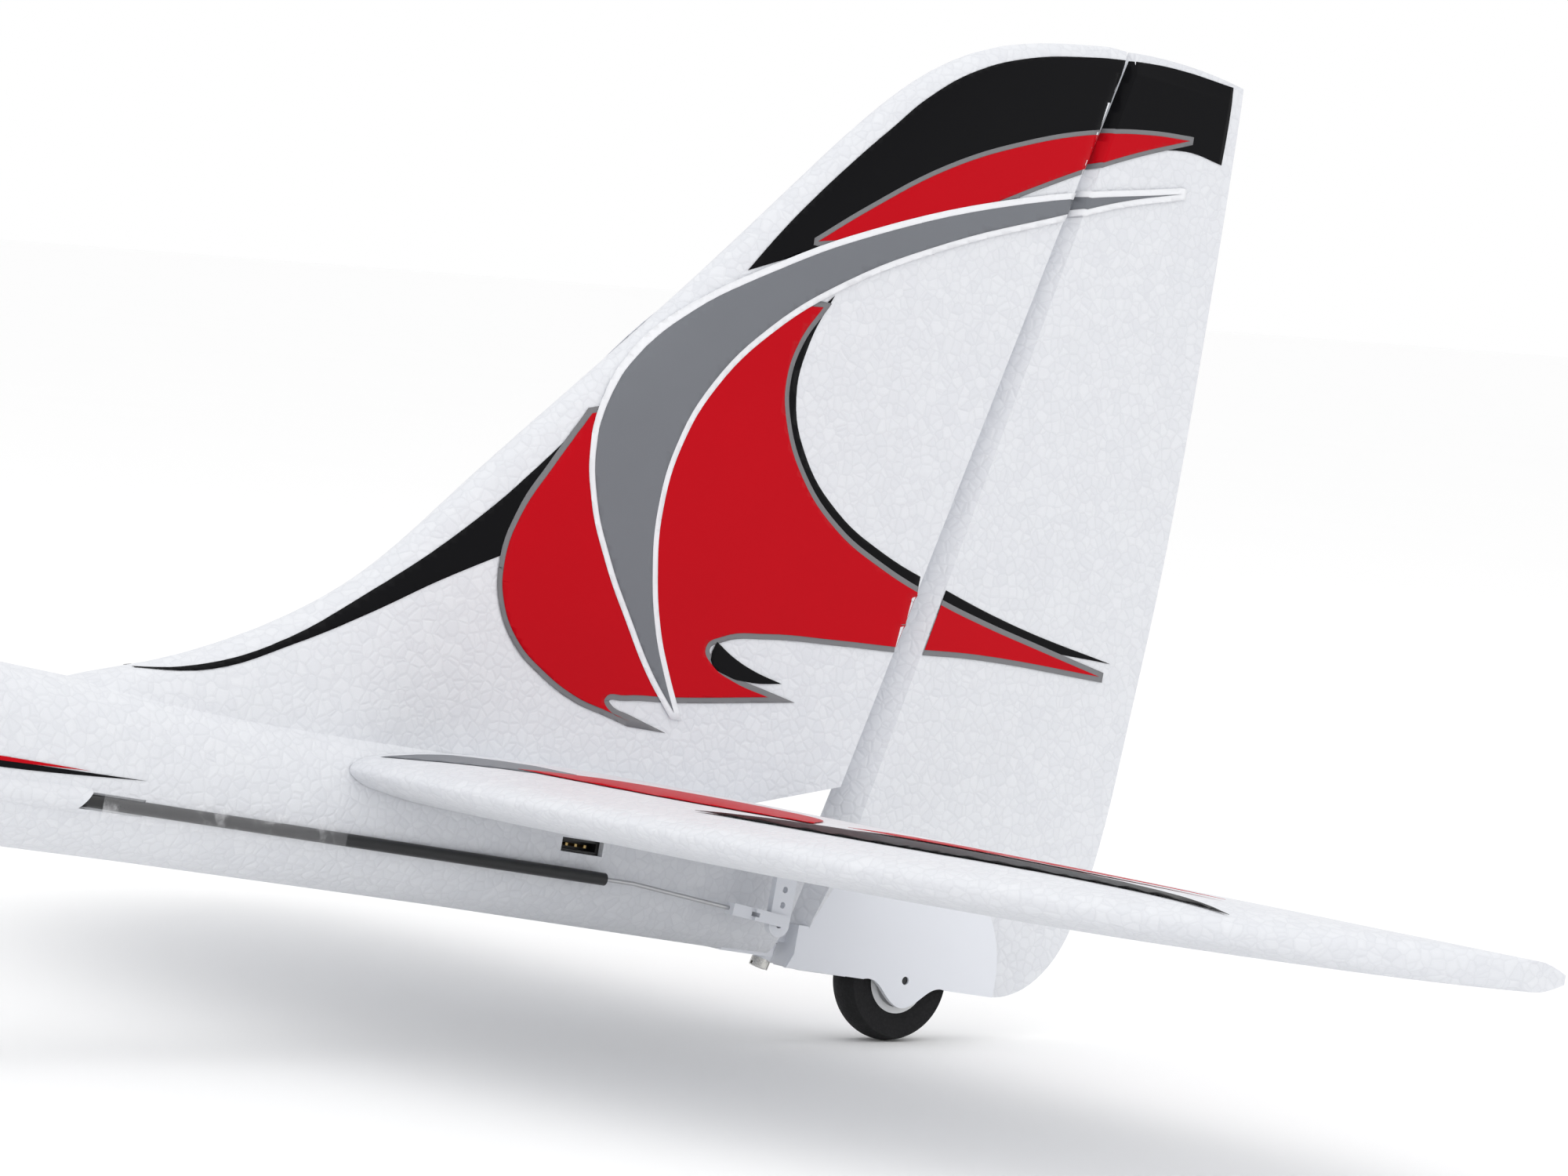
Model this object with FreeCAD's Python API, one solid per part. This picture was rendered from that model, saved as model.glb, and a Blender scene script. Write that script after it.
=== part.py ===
import FreeCAD, Part
import math
import os
from FreeCAD import Placement, Rotation, Vector

# Foam motor sailplane, parked on its two main wheels and its steerable tail wheel.
# Design frame, in millimetres: X aft from the spinner's tip, Y starboard, Z up, with
# Z = 0 on the tailplane's datum line. Everything is drawn in that level frame and put
# nose-up on its wheels at the end. The exported origin is on the floor, under the middle.

# ---- overall sizes ----
wing_span = 1500.0
overall_length = 1058.0          # spinner's tip to the rudder's trailing edge
wing_root_chord = 200.0
tailplane_span = 512.0
fin_height = 199.0               # fin's tip above the datum line

# ---- fuselage ----
foam_wall = 7.0
nose_x = 42.0                    # front face of the nose ring
nose_radius = 19.5
boom_bottom = -28.5
stern_half_width = 7.0
joint_gap = 0.3                  # between foam pieces that lie face to face
cavity_front = 98.0
cavity_end = 735.0

# ---- propeller ----
spinner_length = 36.0
spinner_radius = 19.0
yoke_x = 25.0
blade_pin_y = 15.5
blade_pin_radius = 1.25
blade_length = 122.0
blade_fold_slot = 10.5
shaft_radius = 2.0
running_gap = 0.05
motor_radius = 14.0
motor_bay_radius = 15.4
motor_front = 60.0
motor_length = 32.0

# ---- hatch ----
hatch_front = 108.0
hatch_rear = 218.0
hatch_floor_z = 21.0
hatch_gap = 0.4
hatch_wall = 5.0

# ---- wing ----
wing_le_x = 235.0
wing_pad_y = 43.0                # flat faces of the fuselage's wing roots
wing_root_z = 21.0
wing_dihedral = 3.0
wing_tip_lift = 50.0             # extra rise of the curved-up tips
wing_tip_lift_from = 0.5         # share of the half span where it starts
wing_mid_chord = 0.78            # of the root chord, at 60 % of the half span
wing_tip_chord = 0.55            # of the middle chord, before the tip is rounded
wing_thickness_ratio = 0.095
wing_camber_ratio = 0.024
spar_radius = 4.0
spar_length = 560.0
spar_x = 303.0
spar_z = wing_root_z + wing_root_chord * 0.029 + 3.2
wing_pin_radius = 2.0
wing_pin_length = 44.0
wing_pin_x = 385.0
wing_pin_z = wing_root_z + wing_root_chord * 0.015
aileron_in = 0.47                # inner and outer ends, as shares of the half span
aileron_out = 0.90
aileron_share = 0.24             # of the chord there
servo_arm_radius_wing = 12.0
wing_servo_y = 430.0
aileron_servo_offset = -62.0     # servo shaft ahead of the aileron's hinge

# ---- tail ----
stab_le_x = 827.4
stab_root_chord = 148.0
stab_root_y = 12.0               # elevators' inner ends
stab_gap = 0.15                  # between the fixed tailplane's root and the fuselage's side
stab_thickness = 12.4
stab_incidence = -1.7            # nose down against the datum line
elevator_hinge_x = 948.0
elevator_hinge_z = 2.6
elevator_end_y = 197.0
elevator_notch_slope = 0.29      # rise of the stern's elevator notch per millimetre
socket_front = (886.9, -11.4)    # lead socket's lower front corner, x and z
socket_size = (11.8, 3.2)
foam_fit = 0.02                  # hairline between foam and what is glued into it
stab_spar_radius = 3.0
stab_spar_length = 190.0
stab_spar_x = 880.0
hinge_bead = 0.5                 # radius of the moulded living hinge
hinge_clear = 0.12
fixed_v_slope = -0.3              # fixed side of each hinge groove
rudder_hinge_low = (959.5, -25.0)
rudder_hinge_high = (1018.5, 198.0)
rudder_bottom = -30.8
horn_plate = 1.4
hinge_screw_radius = 0.9
joiner_radius = 1.25              # rod that joins the two elevators
joiner_offset = 8.0               # behind their hinge

# ---- control runs ----
sleeve_radius = 1.45
sleeve_bore = 0.75
wire_radius = 0.5
sleeve_y = 15.2
sleeve_z = -16.2
sleeve_front = 500.0
sleeve_end = 899.0
sleeve_exit = 765.0
sleeve_cover_front = 690.0
sleeve_cover_radius = 3.0
wire_bend_x = sleeve_end + 8.0
horn_y = 17.0                    # elevator horn, on the port side
clevis_pin_radius = 0.7
clevis_length = 14.0
elevator_horn_radius = 22.0
rudder_horn_radius = 15.0
servo_arm_radius = 15.0
elevator_servo_x = 425.0
rudder_servo_x = 462.0
servo_size = (22.5, 12.0, 22.0)
slot_gap = 0.3

# ---- wheels ----
tail_wheel_x = 997.0
tail_wheel_z = -29.6
tail_wheel_radius = 15.0
tail_wheel_width = 8.4
tail_hub_radius = 8.2
tail_axle_radius = 1.0
bracket_gap = 0.8                # each side of the tail wheel
bracket_wall = 1.2
bracket_inner_half = tail_wheel_width / 2 + bracket_gap
main_wheel_x = 282.0
main_wheel_z = -105.8
main_wheel_radius = 27.0
main_wheel_width = 14.0
main_hub_radius = 15.0
main_track = 168.0
gear_wire_radius = 1.5
gear_x = 275.0
gear_top_z = -44.4               # gear wire's bar across the belly

PARTS = {}


# ---- small helpers ----
def add(name, *shapes):
    """Keeps a piece under its name; several solids become one group."""
    solids = [solid for shape in shapes for solid in shape.Solids]
    PARTS[name] = solids[0] if len(solids) == 1 else Part.makeCompound(solids)


def box(x0, x1, y0, y1, z0, z1):
    return Part.makeBox(x1 - x0, y1 - y0, z1 - z0, Vector(x0, y0, z0))


def rod(start, end, radius):
    start, end = Vector(*start), Vector(*end)
    return Part.makeCylinder(radius, (end - start).Length, start, end - start)


def mirrored(shape):
    return shape.mirror(Vector(0, 0, 0), Vector(0, 1, 0))


def polygon_face(points):
    return Part.Face(Part.makePolygon([Vector(*p) for p in points + points[:1]]))


def prism_y(points_xz, y0, y1):
    """Straight-sided plate: an X-Z outline carried from y0 to y1."""
    face = polygon_face([(x, y0, z) for x, z in points_xz])
    return face.extrude(Vector(0, y1 - y0, 0))


def chord_parameters(points):
    """Spacing of a curve's knots: running distance along its points, from 0 to 1."""
    total = [0.0]
    for a, b in zip(points, points[1:]):
        total.append(total[-1] + math.dist(a, b))
    return [value / total[-1] for value in total]


def spline_curve(points, parameters=None):
    curve = Part.BSplineCurve()
    if parameters is None:
        curve.interpolate([Vector(*p) for p in points])
    else:
        curve.interpolate(Points=[Vector(*p) for p in points], Parameters=parameters)
    return curve


def spline_edge(points):
    return spline_curve(points).toShape()


def skin_surface(rows, places):
    """Smooth surface through section curves; places is where each row lies along the span."""
    around = chord_parameters(rows[len(rows) // 3])
    curves = [spline_curve(row, around) for row in rows]
    columns = []
    for index in range(curves[0].NbPoles):
        poles = [tuple(curve.getPole(index + 1)) for curve in curves]
        columns.append(spline_curve(poles, places))
    surface = Part.BSplineSurface()
    surface.buildFromPolesMultsKnots([column.getPoles() for column in columns],
                                     curves[0].getMultiplicities(), columns[0].getMultiplicities(),
                                     curves[0].getKnots(), columns[0].getKnots(), False, False,
                                     curves[0].Degree, columns[0].Degree)
    return surface.toShape()


def skinned(rows):
    """Closed solid over open section outlines (rows of points), closed by a flat back
    from each row's last point to its first, and by flat ends."""
    middles = [tuple(sum(p[i] for p in row) / len(row) for i in range(3)) for row in rows]
    places = chord_parameters(middles)
    skin = skin_surface(rows, places)
    last, first = [row[-1] for row in rows], [row[0] for row in rows]
    back = Part.makeRuledSurface(spline_curve(last, places).toShape(), spline_curve(first, places).toShape())
    faces = [skin, back]
    for row, place in ((rows[0], 0.0), (rows[-1], 1.0)):
        curve = skin.Surface.vIso(place).toShape()
        faces.append(Part.Face(Part.Wire([curve, Part.makeLine(Vector(*row[-1]), Vector(*row[0]))])))
    shell = Part.makeShell(faces)
    shell.sewShape()
    solid = Part.makeSolid(Part.Shell(shell.Faces))
    if solid.Volume < 0:
        solid.reverse()
    return solid


def closed_spline(points):
    curve = Part.BSplineCurve()
    curve.interpolate([Vector(*p) for p in points], PeriodicFlag=True)
    return Part.Wire([curve.toShape()])


def lofted(wires):
    solid = Part.makeLoft(wires, True, False)
    if solid.Volume < 0:
        solid.reverse()
    return solid


def blend(a, b, share):
    return a + (b - a) * share


def along(low, high, z):
    """X on the straight line through two (x, z) points, at height z."""
    return blend(low[0], high[0], (z - low[1]) / (high[1] - low[1]))


def rudder_axis_x(z):
    return along(rudder_hinge_low, rudder_hinge_high, z)


def stab_z(x):
    """Height of the tailplane's middle surface at x."""
    return -(x - elevator_hinge_x) * math.tan(math.radians(stab_incidence)) + elevator_hinge_z


# ---- fuselage ----
# Stations: x, half width, top, bottom.
def fuselage_stations():
    return [
        (nose_x, nose_radius, nose_radius, -nose_radius),
        (80.0, 25.0, 26.0, -26.5),
        (135.0, 31.5, 37.5, -35.5),
        (200.0, 35.5, 46.5, -42.0),
        (270.0, 37.0, 50.5, -46.0),
        (340.0, 36.5, 50.0, -46.0),
        (430.0, 33.0, 43.0, -42.0),
        (520.0, 27.5, 31.0, -37.0),
        (610.0, 22.0, 20.0, -33.0),
        (700.0, 18.0, 12.0, -30.2),
        (765.0, 15.8, 8.8, boom_bottom - 0.6),
        (840.0, 14.6, 8.5, boom_bottom),
        (910.0, 12.5, 8.5, boom_bottom),
        (rudder_axis_x(boom_bottom) + 20.0, stern_half_width, 8.5, boom_bottom),
    ]


def oval(x, half_width, top, bottom, power=2.35, count=28):
    """A fuselage section: a rounded oval, squarer than an ellipse."""
    middle = (top + bottom) / 2
    half_height = (top - bottom) / 2
    points = []
    for i in range(count):
        angle = 2 * math.pi * i / count
        c, s = math.cos(angle), math.sin(angle)
        y = half_width * math.copysign(abs(c) ** (2 / power), c)
        z = middle + half_height * math.copysign(abs(s) ** (2 / power), s)
        points.append((x, y, z))
    return closed_spline(points)


def fuselage_body(grow=0.0):
    return lofted([oval(x, half_width + grow, top + grow, bottom - grow)
                   for x, half_width, top, bottom in fuselage_stations()])


def fuselage_cavity():
    """The hollow for battery, radio and servos, one wall thickness inside."""
    stations = [s for s in fuselage_stations() if cavity_front < s[0] < cavity_end]
    last = stations[-1]
    inner = []
    for x, half_width, top, bottom in [(cavity_front, 27.0, 29.5, -29.0)] + stations:
        inner.append(oval(x, half_width - foam_wall, top - foam_wall, bottom + foam_wall))
    inner.append(oval(cavity_end, last[1] - foam_wall - 2.5, last[2] - foam_wall - 2.5,
                      last[3] + foam_wall + 2.0))
    return lofted(inner)


def fin_section(x_le, x_te, z, half, rear_half):
    """Fin section at height z: round nose, widest at its peak, rear_half wide at its end."""
    peak = 0.3
    root = math.sqrt(peak)
    # half thickness = half (a sqrt(u) + b u + c u^2): 1 and level at the peak
    spread = (1 - 2 * peak) / peak ** 2
    a = (rear_half / half + spread) / (1 - 0.5 / root + 0.5 * root * spread)
    c = (0.5 * a * root - 1) / peak ** 2
    b = rear_half / half - a - c
    port, starboard = [], []
    for i in range(13):
        u = 1 - math.cos(0.5 * math.pi * i / 12)
        y = half * (a * math.sqrt(u) + b * u + c * u * u)
        port.append((blend(x_le, x_te, u), -y, z))
        starboard.append((blend(x_le, x_te, u), y, z))
    return list(reversed(port)) + starboard[1:]


# Fin leading edge, from the dorsal fillet up the swept edge and round the tip:
# height above the datum, x, half thickness.
def fin_stations():
    tip = fin_height
    return [
        (-12.0, 748.0, 9.0),
        (4.0, 752.0, 9.0),
        (9.0, 762.0, 9.0),
        (14.0, 778.0, 8.8),
        (24.0, 802.5, 8.6),
        (40.0, 828.0, 8.4),
        (62.0, 849.5, 8.1),
        (104.0, 888.5, 7.2),
        (tip - 52.0, 926.8, 6.0),
        (tip - 30.0, 946.5, 5.3),
        (tip - 15.0, 964.0, 4.6),
        (tip - 6.0, 982.5, 3.6),
        (tip - 1.2, 1004.0, 2.2),
        (tip, 1012.0, 1.2),
    ]


def hinge_half_thickness(z):
    """Half thickness of fin and rudder at their hinge line."""
    full = blend(8.0, 3.0, max(0.0, z) / fin_height)
    return min(full, 1.0 + 1.1 * math.sqrt(max(0.0, fin_height - z)))


def fin_body():
    rows = []
    for z, x_le, half in fin_stations():
        hinge_half = min(hinge_half_thickness(z), half * 0.93)
        rows.append(fin_section(x_le, rudder_axis_x(z) + 6.0, z, half, hinge_half * 0.9))
    return skinned(rows)


def axis_frame(origin, direction):
    """A placement whose Y runs along a hinge, X aft and Z up as nearly as it lets them."""
    y_axis = Vector(*direction).normalize()
    x_axis = Vector(1, 0, 0)
    x_axis = (x_axis - y_axis * x_axis.dot(y_axis)).normalize()
    z_axis = x_axis.cross(y_axis)
    matrix = FreeCAD.Matrix(x_axis.x, y_axis.x, z_axis.x, origin[0],
                            x_axis.y, y_axis.y, z_axis.y, origin[1],
                            x_axis.z, y_axis.z, z_axis.z, origin[2], 0, 0, 0, 1)
    return Placement(matrix)


def placed(shape, placement):
    shape = shape.copy()
    shape.Placement = placement.multiply(shape.Placement)
    return shape


def behind_hinge(start, end, slope, gap, reach, tall, inset=0.0):
    """Everything behind a hinge line: a V-fronted bar square to the line.

    Its front leans back by slope for each millimetre off the middle surface."""
    direction = [b - a for a, b in zip(start, end)]
    length = Vector(*direction).Length
    lean = gap + slope * tall
    outline = [(gap, 0.0), (lean, tall), (reach, tall), (reach, -tall), (lean, -tall)]
    return placed(prism_y(outline, inset, length - inset), axis_frame(start, direction))


def stern_cut():
    """Clears the stern behind the rudder's hinge line, with a slight V."""
    start, end = [(rudder_axis_x(z), 0.0, z) for z in (-60.0, 240.0)]
    return behind_hinge(start, end, fixed_v_slope, -hinge_bead * 0.6, 90.0, 40.0)


def elevator_notch():
    """Wedge through the stern that lets the joined elevators swing."""
    apex = elevator_hinge_x - 9.0
    rear = 1060.0
    rise = elevator_notch_slope * (rear - apex)
    z = elevator_hinge_z
    return prism_y([(apex, z + 2.4), (apex, z - 2.4), (rear, z - 2.4 - rise), (rear, z + 2.4 + rise)],
                   -40.0, 40.0)


def wing_roots():
    """The two wing stubs moulded with the fuselage, out to their flat faces."""
    pads = []
    for side in (-1, 1):
        places = (wing_pad_y, wing_pad_y - 8.0, wing_pad_y - 16.0, wing_pad_y - 25.0)
        pad = skinned([wing_section(y, root=True) for y in places])
        pads.append(pad if side > 0 else mirrored(pad))
    return pads


def hatch_space(grow):
    """The hatch's opening through the top skin; grow widens it all round."""
    lean = 12.0
    points = [(hatch_front - grow, 80.0), (hatch_front - grow, hatch_floor_z - grow),
              (hatch_rear + grow - lean, hatch_floor_z - grow), (hatch_rear + grow + lean, 80.0)]
    return prism_y(points, -60.0, 60.0)


def wire_paths_cut():
    """Tunnels for both sleeves where they run through the foam skin."""
    cuts = []
    for side in (-1, 1):
        y = side * sleeve_y
        cuts.append(rod((sleeve_front - 30.0, y, sleeve_z), (sleeve_end + 25.0, y, sleeve_z),
                        sleeve_radius + 0.02))
    return cuts


def sleeve_covers():
    """Swellings moulded on both sides that bury the sleeves ahead of their mouths."""
    covers = []
    for side in (-1, 1):
        covers.append(rod((sleeve_cover_front, side * (sleeve_y - 1.5), sleeve_z),
                          (sleeve_exit - 2.0, side * (sleeve_y - 0.6), sleeve_z), sleeve_cover_radius))
    return covers


def socket_pocket():
    x0, z0 = socket_front
    return box(x0 - foam_fit, x0 + socket_size[0] + foam_fit, -20.0, -6.0 + foam_fit,
               z0 - foam_fit, z0 + socket_size[1] + foam_fit)


def sleeve_mouth():
    """Slanted opening where the port sleeve comes out of the skin."""
    x = sleeve_exit
    z = sleeve_z
    return prism_y([(x - 5.0, z - 1.9), (x + 12.0, z - 1.9), (x + 12.0, z + 1.9), (x - 2.0, z + 1.9)],
                   -30.0, -sleeve_y + 0.6)


def make_fuselage():
    shell = fuselage_body().fuse([fin_body()] + wing_roots() + sleeve_covers())
    motor_bay = rod((nose_x - 2, 0, 0), (cavity_front + 1, 0, 0), motor_bay_radius)
    cuts = [fuselage_cavity(), motor_bay, stern_cut(), elevator_notch(), hatch_space(0.0),
            socket_pocket(), sleeve_mouth(), gear_slot_cut(), stern_hinge_seat()]
    cuts += wire_paths_cut()
    cuts.append(rod((spar_x, -60, spar_z), (spar_x, 60, spar_z), spar_radius + running_gap))
    cuts.append(rod((stab_spar_x, -60, stab_z(stab_spar_x)), (stab_spar_x, 60, stab_z(stab_spar_x)),
                    stab_spar_radius + running_gap))
    for side in (-1, 1):
        cuts.append(rod((wing_pin_x, side * 20, wing_pin_z), (wing_pin_x, side * 60, wing_pin_z),
                        wing_pin_radius + running_gap))
    shell = shell.cut(cuts)
    bead = rod((rudder_axis_x(60.0), 0, 60.0), (rudder_axis_x(186.0), 0, 186.0), hinge_bead)
    shell = shell.fuse(bead)
    for name, y0 in (("fuselage_left", -200.0), ("fuselage_right", 0.0)):
        half = shell.common(box(-10, 1200, y0, y0 + 200.0, -200, 300))
        keep = max(half.Solids, key=lambda s: s.Volume)
        add(name, keep)


def stern_hinge_seat():
    """Socket in the stern for the rudder's lower hinge fitting, with room for its knuckles."""
    low, _, high = knuckle_places()
    seat = box(elevator_hinge_x - 4.0, 1000.0, -3.0, 3.0, boom_bottom - 2.0, boom_bottom + 5.0)
    arm_slot = placed(box(-7.5, 2.0, 0.5, 20.0, -1.4, 1.4), rudder_horn_frame())
    return seat.fuse([rod(axis_point(low - 8.0), axis_point(high + 2.2), 3.1), arm_slot])


def make_hatch():
    skin = fuselage_body()
    inside = hatch_hollow()
    hatch = skin.cut(inside).common(hatch_space(-hatch_gap))
    seats = magnet_places()
    hatch = hatch.cut([rod((x, y, z), (x, y, z + 3.0), 3.02) for x, y, z in seats])
    add("canopy_hatch", max(hatch.Solids, key=lambda s: s.Volume))
    add("hatch_magnets", *[rod((x, y, z), (x, y, z + 3.0), 3.0) for x, y, z in seats])


def magnet_places():
    z = hatch_floor_z + hatch_gap
    return [(hatch_rear - 22.0, -24.5, z), (hatch_rear - 22.0, 24.5, z)]


def hatch_hollow():
    """Hollow under the canopy, closed at both ends so that the hatch is a bowl."""
    stations = [s for s in fuselage_stations() if hatch_front < s[0] < hatch_rear + 40]
    inner = []
    for x, half_width, top, bottom in stations:
        inner.append(oval(x, half_width - foam_wall, top - hatch_wall, bottom + foam_wall))
    solid = lofted(inner)
    return solid.common(box(hatch_front + 6, hatch_rear - 22, -60, 60, -60, 80))


# ---- wing ----
def wing_chord(y):
    """Chord at |y|: gentle taper, then a rounded tip."""
    share = abs(y) / (wing_span / 2)
    if share < 0.6:
        return wing_root_chord * blend(1.0, wing_mid_chord, share / 0.6)
    inner = wing_root_chord * wing_mid_chord
    outer = (share - 0.6) / 0.4
    return inner * (1.0 - (1 - wing_tip_chord) * outer ** 1.6) * math.sqrt(max(0.03, 1 - 0.86 * outer ** 6))


def wing_front(y):
    share = abs(y) / (wing_span / 2)
    return wing_le_x + 4.0 * share + 22.0 * max(0.0, share - 0.9) ** 2 / 0.01


def wing_height(y):
    out = abs(y) - wing_pad_y
    lift = out * math.tan(math.radians(wing_dihedral))
    tip_start = wing_tip_lift_from * wing_span / 2
    bend = max(0.0, abs(y) - tip_start) / (wing_span / 2 - tip_start)
    return wing_root_z + lift + wing_tip_lift * bend ** 2


def camber_line(u):
    m, p = wing_camber_ratio, 0.42
    if u < p:
        return m / p ** 2 * (2 * p * u - u * u)
    return m / (1 - p) ** 2 * ((1 - 2 * p) + 2 * p * u - u * u)


def thickness_line(u, ratio):
    return 5 * ratio * (0.2969 * math.sqrt(u) - 0.1260 * u - 0.3516 * u ** 2
                        + 0.2843 * u ** 3 - 0.0986 * u ** 4)


def wing_section(y, root=False):
    """Cambered aerofoil at span station y, as a closed wire."""
    place = wing_pad_y if root else abs(y)
    chord, front, height = wing_chord(place), wing_front(place), wing_height(place)
    upper, lower = [], []
    for i in range(15):
        u = (1 - math.cos(math.pi * i / 14)) / 2
        half = thickness_line(u, wing_thickness_ratio) + 0.0035 * u
        upper.append((front + chord * u, y, height + chord * (camber_line(u) + half)))
        lower.append((front + chord * u, y, height + chord * (camber_line(u) - half)))
    return list(reversed(upper)) + lower[1:]


def aileron_hinge(y):
    """Hinge point at |y|: on the section's middle surface, ahead of the trailing edge."""
    u = 1 - aileron_share
    x = wing_front(y) + wing_chord(y) * u
    return (x, y, wing_height(y) + wing_chord(y) * camber_line(u))


def aileron_ends():
    return wing_span / 2 * aileron_in, wing_span / 2 * aileron_out


def straight_hinge(y):
    """Point at |y| on the straight axis through the aileron's two end points."""
    y_in, y_out = aileron_ends()
    a, b = aileron_hinge(y_in), aileron_hinge(y_out)
    share = (y - y_in) / (y_out - y_in)
    return tuple(blend(a[i], b[i], share) for i in range(3))


def make_wing():
    """Starboard wing, aileron and its linkage, with the port ones as their mirror images."""
    tip = wing_span / 2
    stations = [wing_pad_y + joint_gap] + [tip * s for s in (0.2, 0.35, 0.5, 0.6, 0.69, 0.78, 0.855, 0.91,
                                                             0.95, 0.977, 0.992, 1.0)]
    panel = skinned([wing_section(y) for y in stations])
    y_in, y_out = aileron_ends()
    reach = wing_root_chord
    start, end = straight_hinge(y_in), straight_hinge(y_out)
    fixed_cut = behind_hinge(start, end, fixed_v_slope, -hinge_bead * 0.6, reach, 40.0)
    moving = behind_hinge(start, end, 0.8, hinge_bead + hinge_clear, reach, 40.0, joint_gap * 2)
    aileron = panel.common(moving)
    wing = panel.cut(fixed_cut)
    bead = rod(straight_hinge(y_in + 3), straight_hinge(y_out - 3), hinge_bead)
    servo, arm, rod_wire, horn, pocket = aileron_linkage()
    spar_hole = rod((spar_x, 0, spar_z), (spar_x, spar_length / 2 + 0.5, spar_z), spar_radius + running_gap)
    pin_hole = rod((wing_pin_x, 0, wing_pin_z), (wing_pin_x, wing_pad_y + 26.0, wing_pin_z),
                   wing_pin_radius + running_gap)
    wing = wing.fuse(bead).cut([spar_hole, pin_hole, pocket])
    wing = max(wing.Solids, key=lambda s: s.Volume)
    aileron = max(aileron.Solids, key=lambda s: s.Volume).cut(horn)
    pieces = {"wing": wing, "aileron": aileron, "aileron_servo": servo, "aileron_arm": arm,
              "aileron_pushrod": rod_wire, "aileron_horn": horn}
    for name, shape in pieces.items():
        add(name + "_right", shape)
        add(name + "_left", mirrored(shape))
    add("wing_spar_tube", rod((spar_x, -spar_length / 2, spar_z), (spar_x, spar_length / 2, spar_z),
                              spar_radius).cut(rod((spar_x, -spar_length, spar_z),
                                                   (spar_x, spar_length, spar_z), spar_radius - 1.0)))
    pins = []
    for side in (-1, 1):
        pins.append(rod((wing_pin_x, side * (wing_pad_y - wing_pin_length / 2), wing_pin_z),
                        (wing_pin_x, side * (wing_pad_y + wing_pin_length / 2), wing_pin_z), wing_pin_radius))
    add("wing_pins", *pins)


def aileron_linkage():
    """Servo, arm, rod and horn in the hinge's own frame: a parallelogram below the wing."""
    y_in, y_out = aileron_ends()
    a, b = straight_hinge(y_in), straight_hinge(y_out)
    direction = [b[i] - a[i] for i in range(3)]
    frame = axis_frame(straight_hinge(wing_servo_y), direction)
    reach = servo_arm_radius_wing
    drop = 7.0                   # shaft and hinge line alike are above the lower skin
    r = reach + drop
    sx = aileron_servo_offset
    body = box(sx - 16.5, sx + 6.0, -7.5 - 12.0, -7.5, -9.5, 1.3)
    shaft = rod((sx, -7.6, 0), (sx, -5.6, 0), 1.3)
    servo = body.fuse(shaft).removeSplitter()
    arm = rod((sx, -5.3, 0), (sx, -3.8, 0), 1.9)
    arm = arm.fuse(prism_y([(sx - 1.9, 0), (sx - 1.9, -r - 1.6), (sx + 1.9, -r - 1.6), (sx + 1.9, 0)],
                           -5.3, -3.8)).removeSplitter()
    pin_hole = wire_radius + running_gap
    arm = arm.cut([rod((sx, -8, -r), (sx, 0, -r), pin_hole)])
    horn = prism_y([(0.6 + hinge_bead, -3.0), (9.0, -3.2), (9.0, -5.5), (2.2, -r - 1.6), (-1.9, -r - 1.6),
                    (-1.9, -r + 2.5)], -5.3, -3.8)
    horn = horn.cut(rod((0, -8, -r), (0, 0, -r), pin_hole))
    wire = rod((sx, -1.5, -r), (0, -1.5, -r), wire_radius)
    ends = [rod((x, -6.3, -r), (x, -1.5, -r), wire_radius) for x in (sx, 0)]
    elbows = [Part.makeSphere(wire_radius, Vector(x, -1.5, -r)) for x in (sx, 0)]
    wire = wire.fuse(ends + elbows).removeSplitter()
    pocket = box(sx - 16.7, sx + 6.2, -7.5 - 12.2, -7.48, -40.0, 1.5)
    lever_room = box(sx - 7.5, sx + 9.0, -7.5, -0.5, -40.0, 2.2)
    horn_room = box(-8.0, 2.0, -6.1, -3.0, -40.0, -1.0)
    pocket = pocket.fuse([lever_room, horn_room]).removeSplitter()
    return tuple(placed(s, frame) for s in (servo, arm, wire, horn, pocket))


# ---- tailplane ----
def stab_half_chord_points():
    """Planform of one half, (y, leading edge x, trailing edge x), round the tip."""
    tip = tailplane_span / 2
    le = stab_le_x
    te = stab_le_x + stab_root_chord
    return [
        (stab_root_y - 7.0, le, te),
        (stab_root_y + 8.0, le + 0.3, te),
        (tip * 0.28, le + 4.5, te + 0.6),
        (tip * 0.50, le + 13.0, te + 1.6),
        (tip * 0.68, le + 28.0, te + 2.4),
        (tip * 0.80, le + 46.0, te + 1.8),
        (tip * 0.90, le + 72.0, te - 2.0),
        (tip * 0.965, le + 98.0, te - 6.0),
        (tip, le + 124.0, te - 12.0),
    ]


def stab_section(y, x_le, x_te):
    """Symmetric tail section; it rides on the tailplane's tilted datum plane."""
    chord = x_te - x_le
    share = chord / stab_root_chord
    half = stab_thickness / 2 * blend(0.42, 1.0, share)
    ratio = 2 * half / chord
    upper, lower = [], []
    for i in range(15):
        u = (1 - math.cos(math.pi * i / 14)) / 2
        # a fuller nose than the usual thickness law, and a 1.6 mm trailing edge
        t = thickness_line(u, ratio) + 0.012 * ratio * math.sin(math.pi * min(1.0, 3 * u))
        t = t * chord + 0.8 * u
        x = x_le + chord * u
        upper.append((x, y, stab_z(x) + t))
        lower.append((x, y, stab_z(x) - t))
    return list(reversed(upper)) + lower[1:]


def elevator_line(y0, y1):
    return (elevator_hinge_x, y0, elevator_hinge_z), (elevator_hinge_x, y1, elevator_hinge_z)


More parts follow.
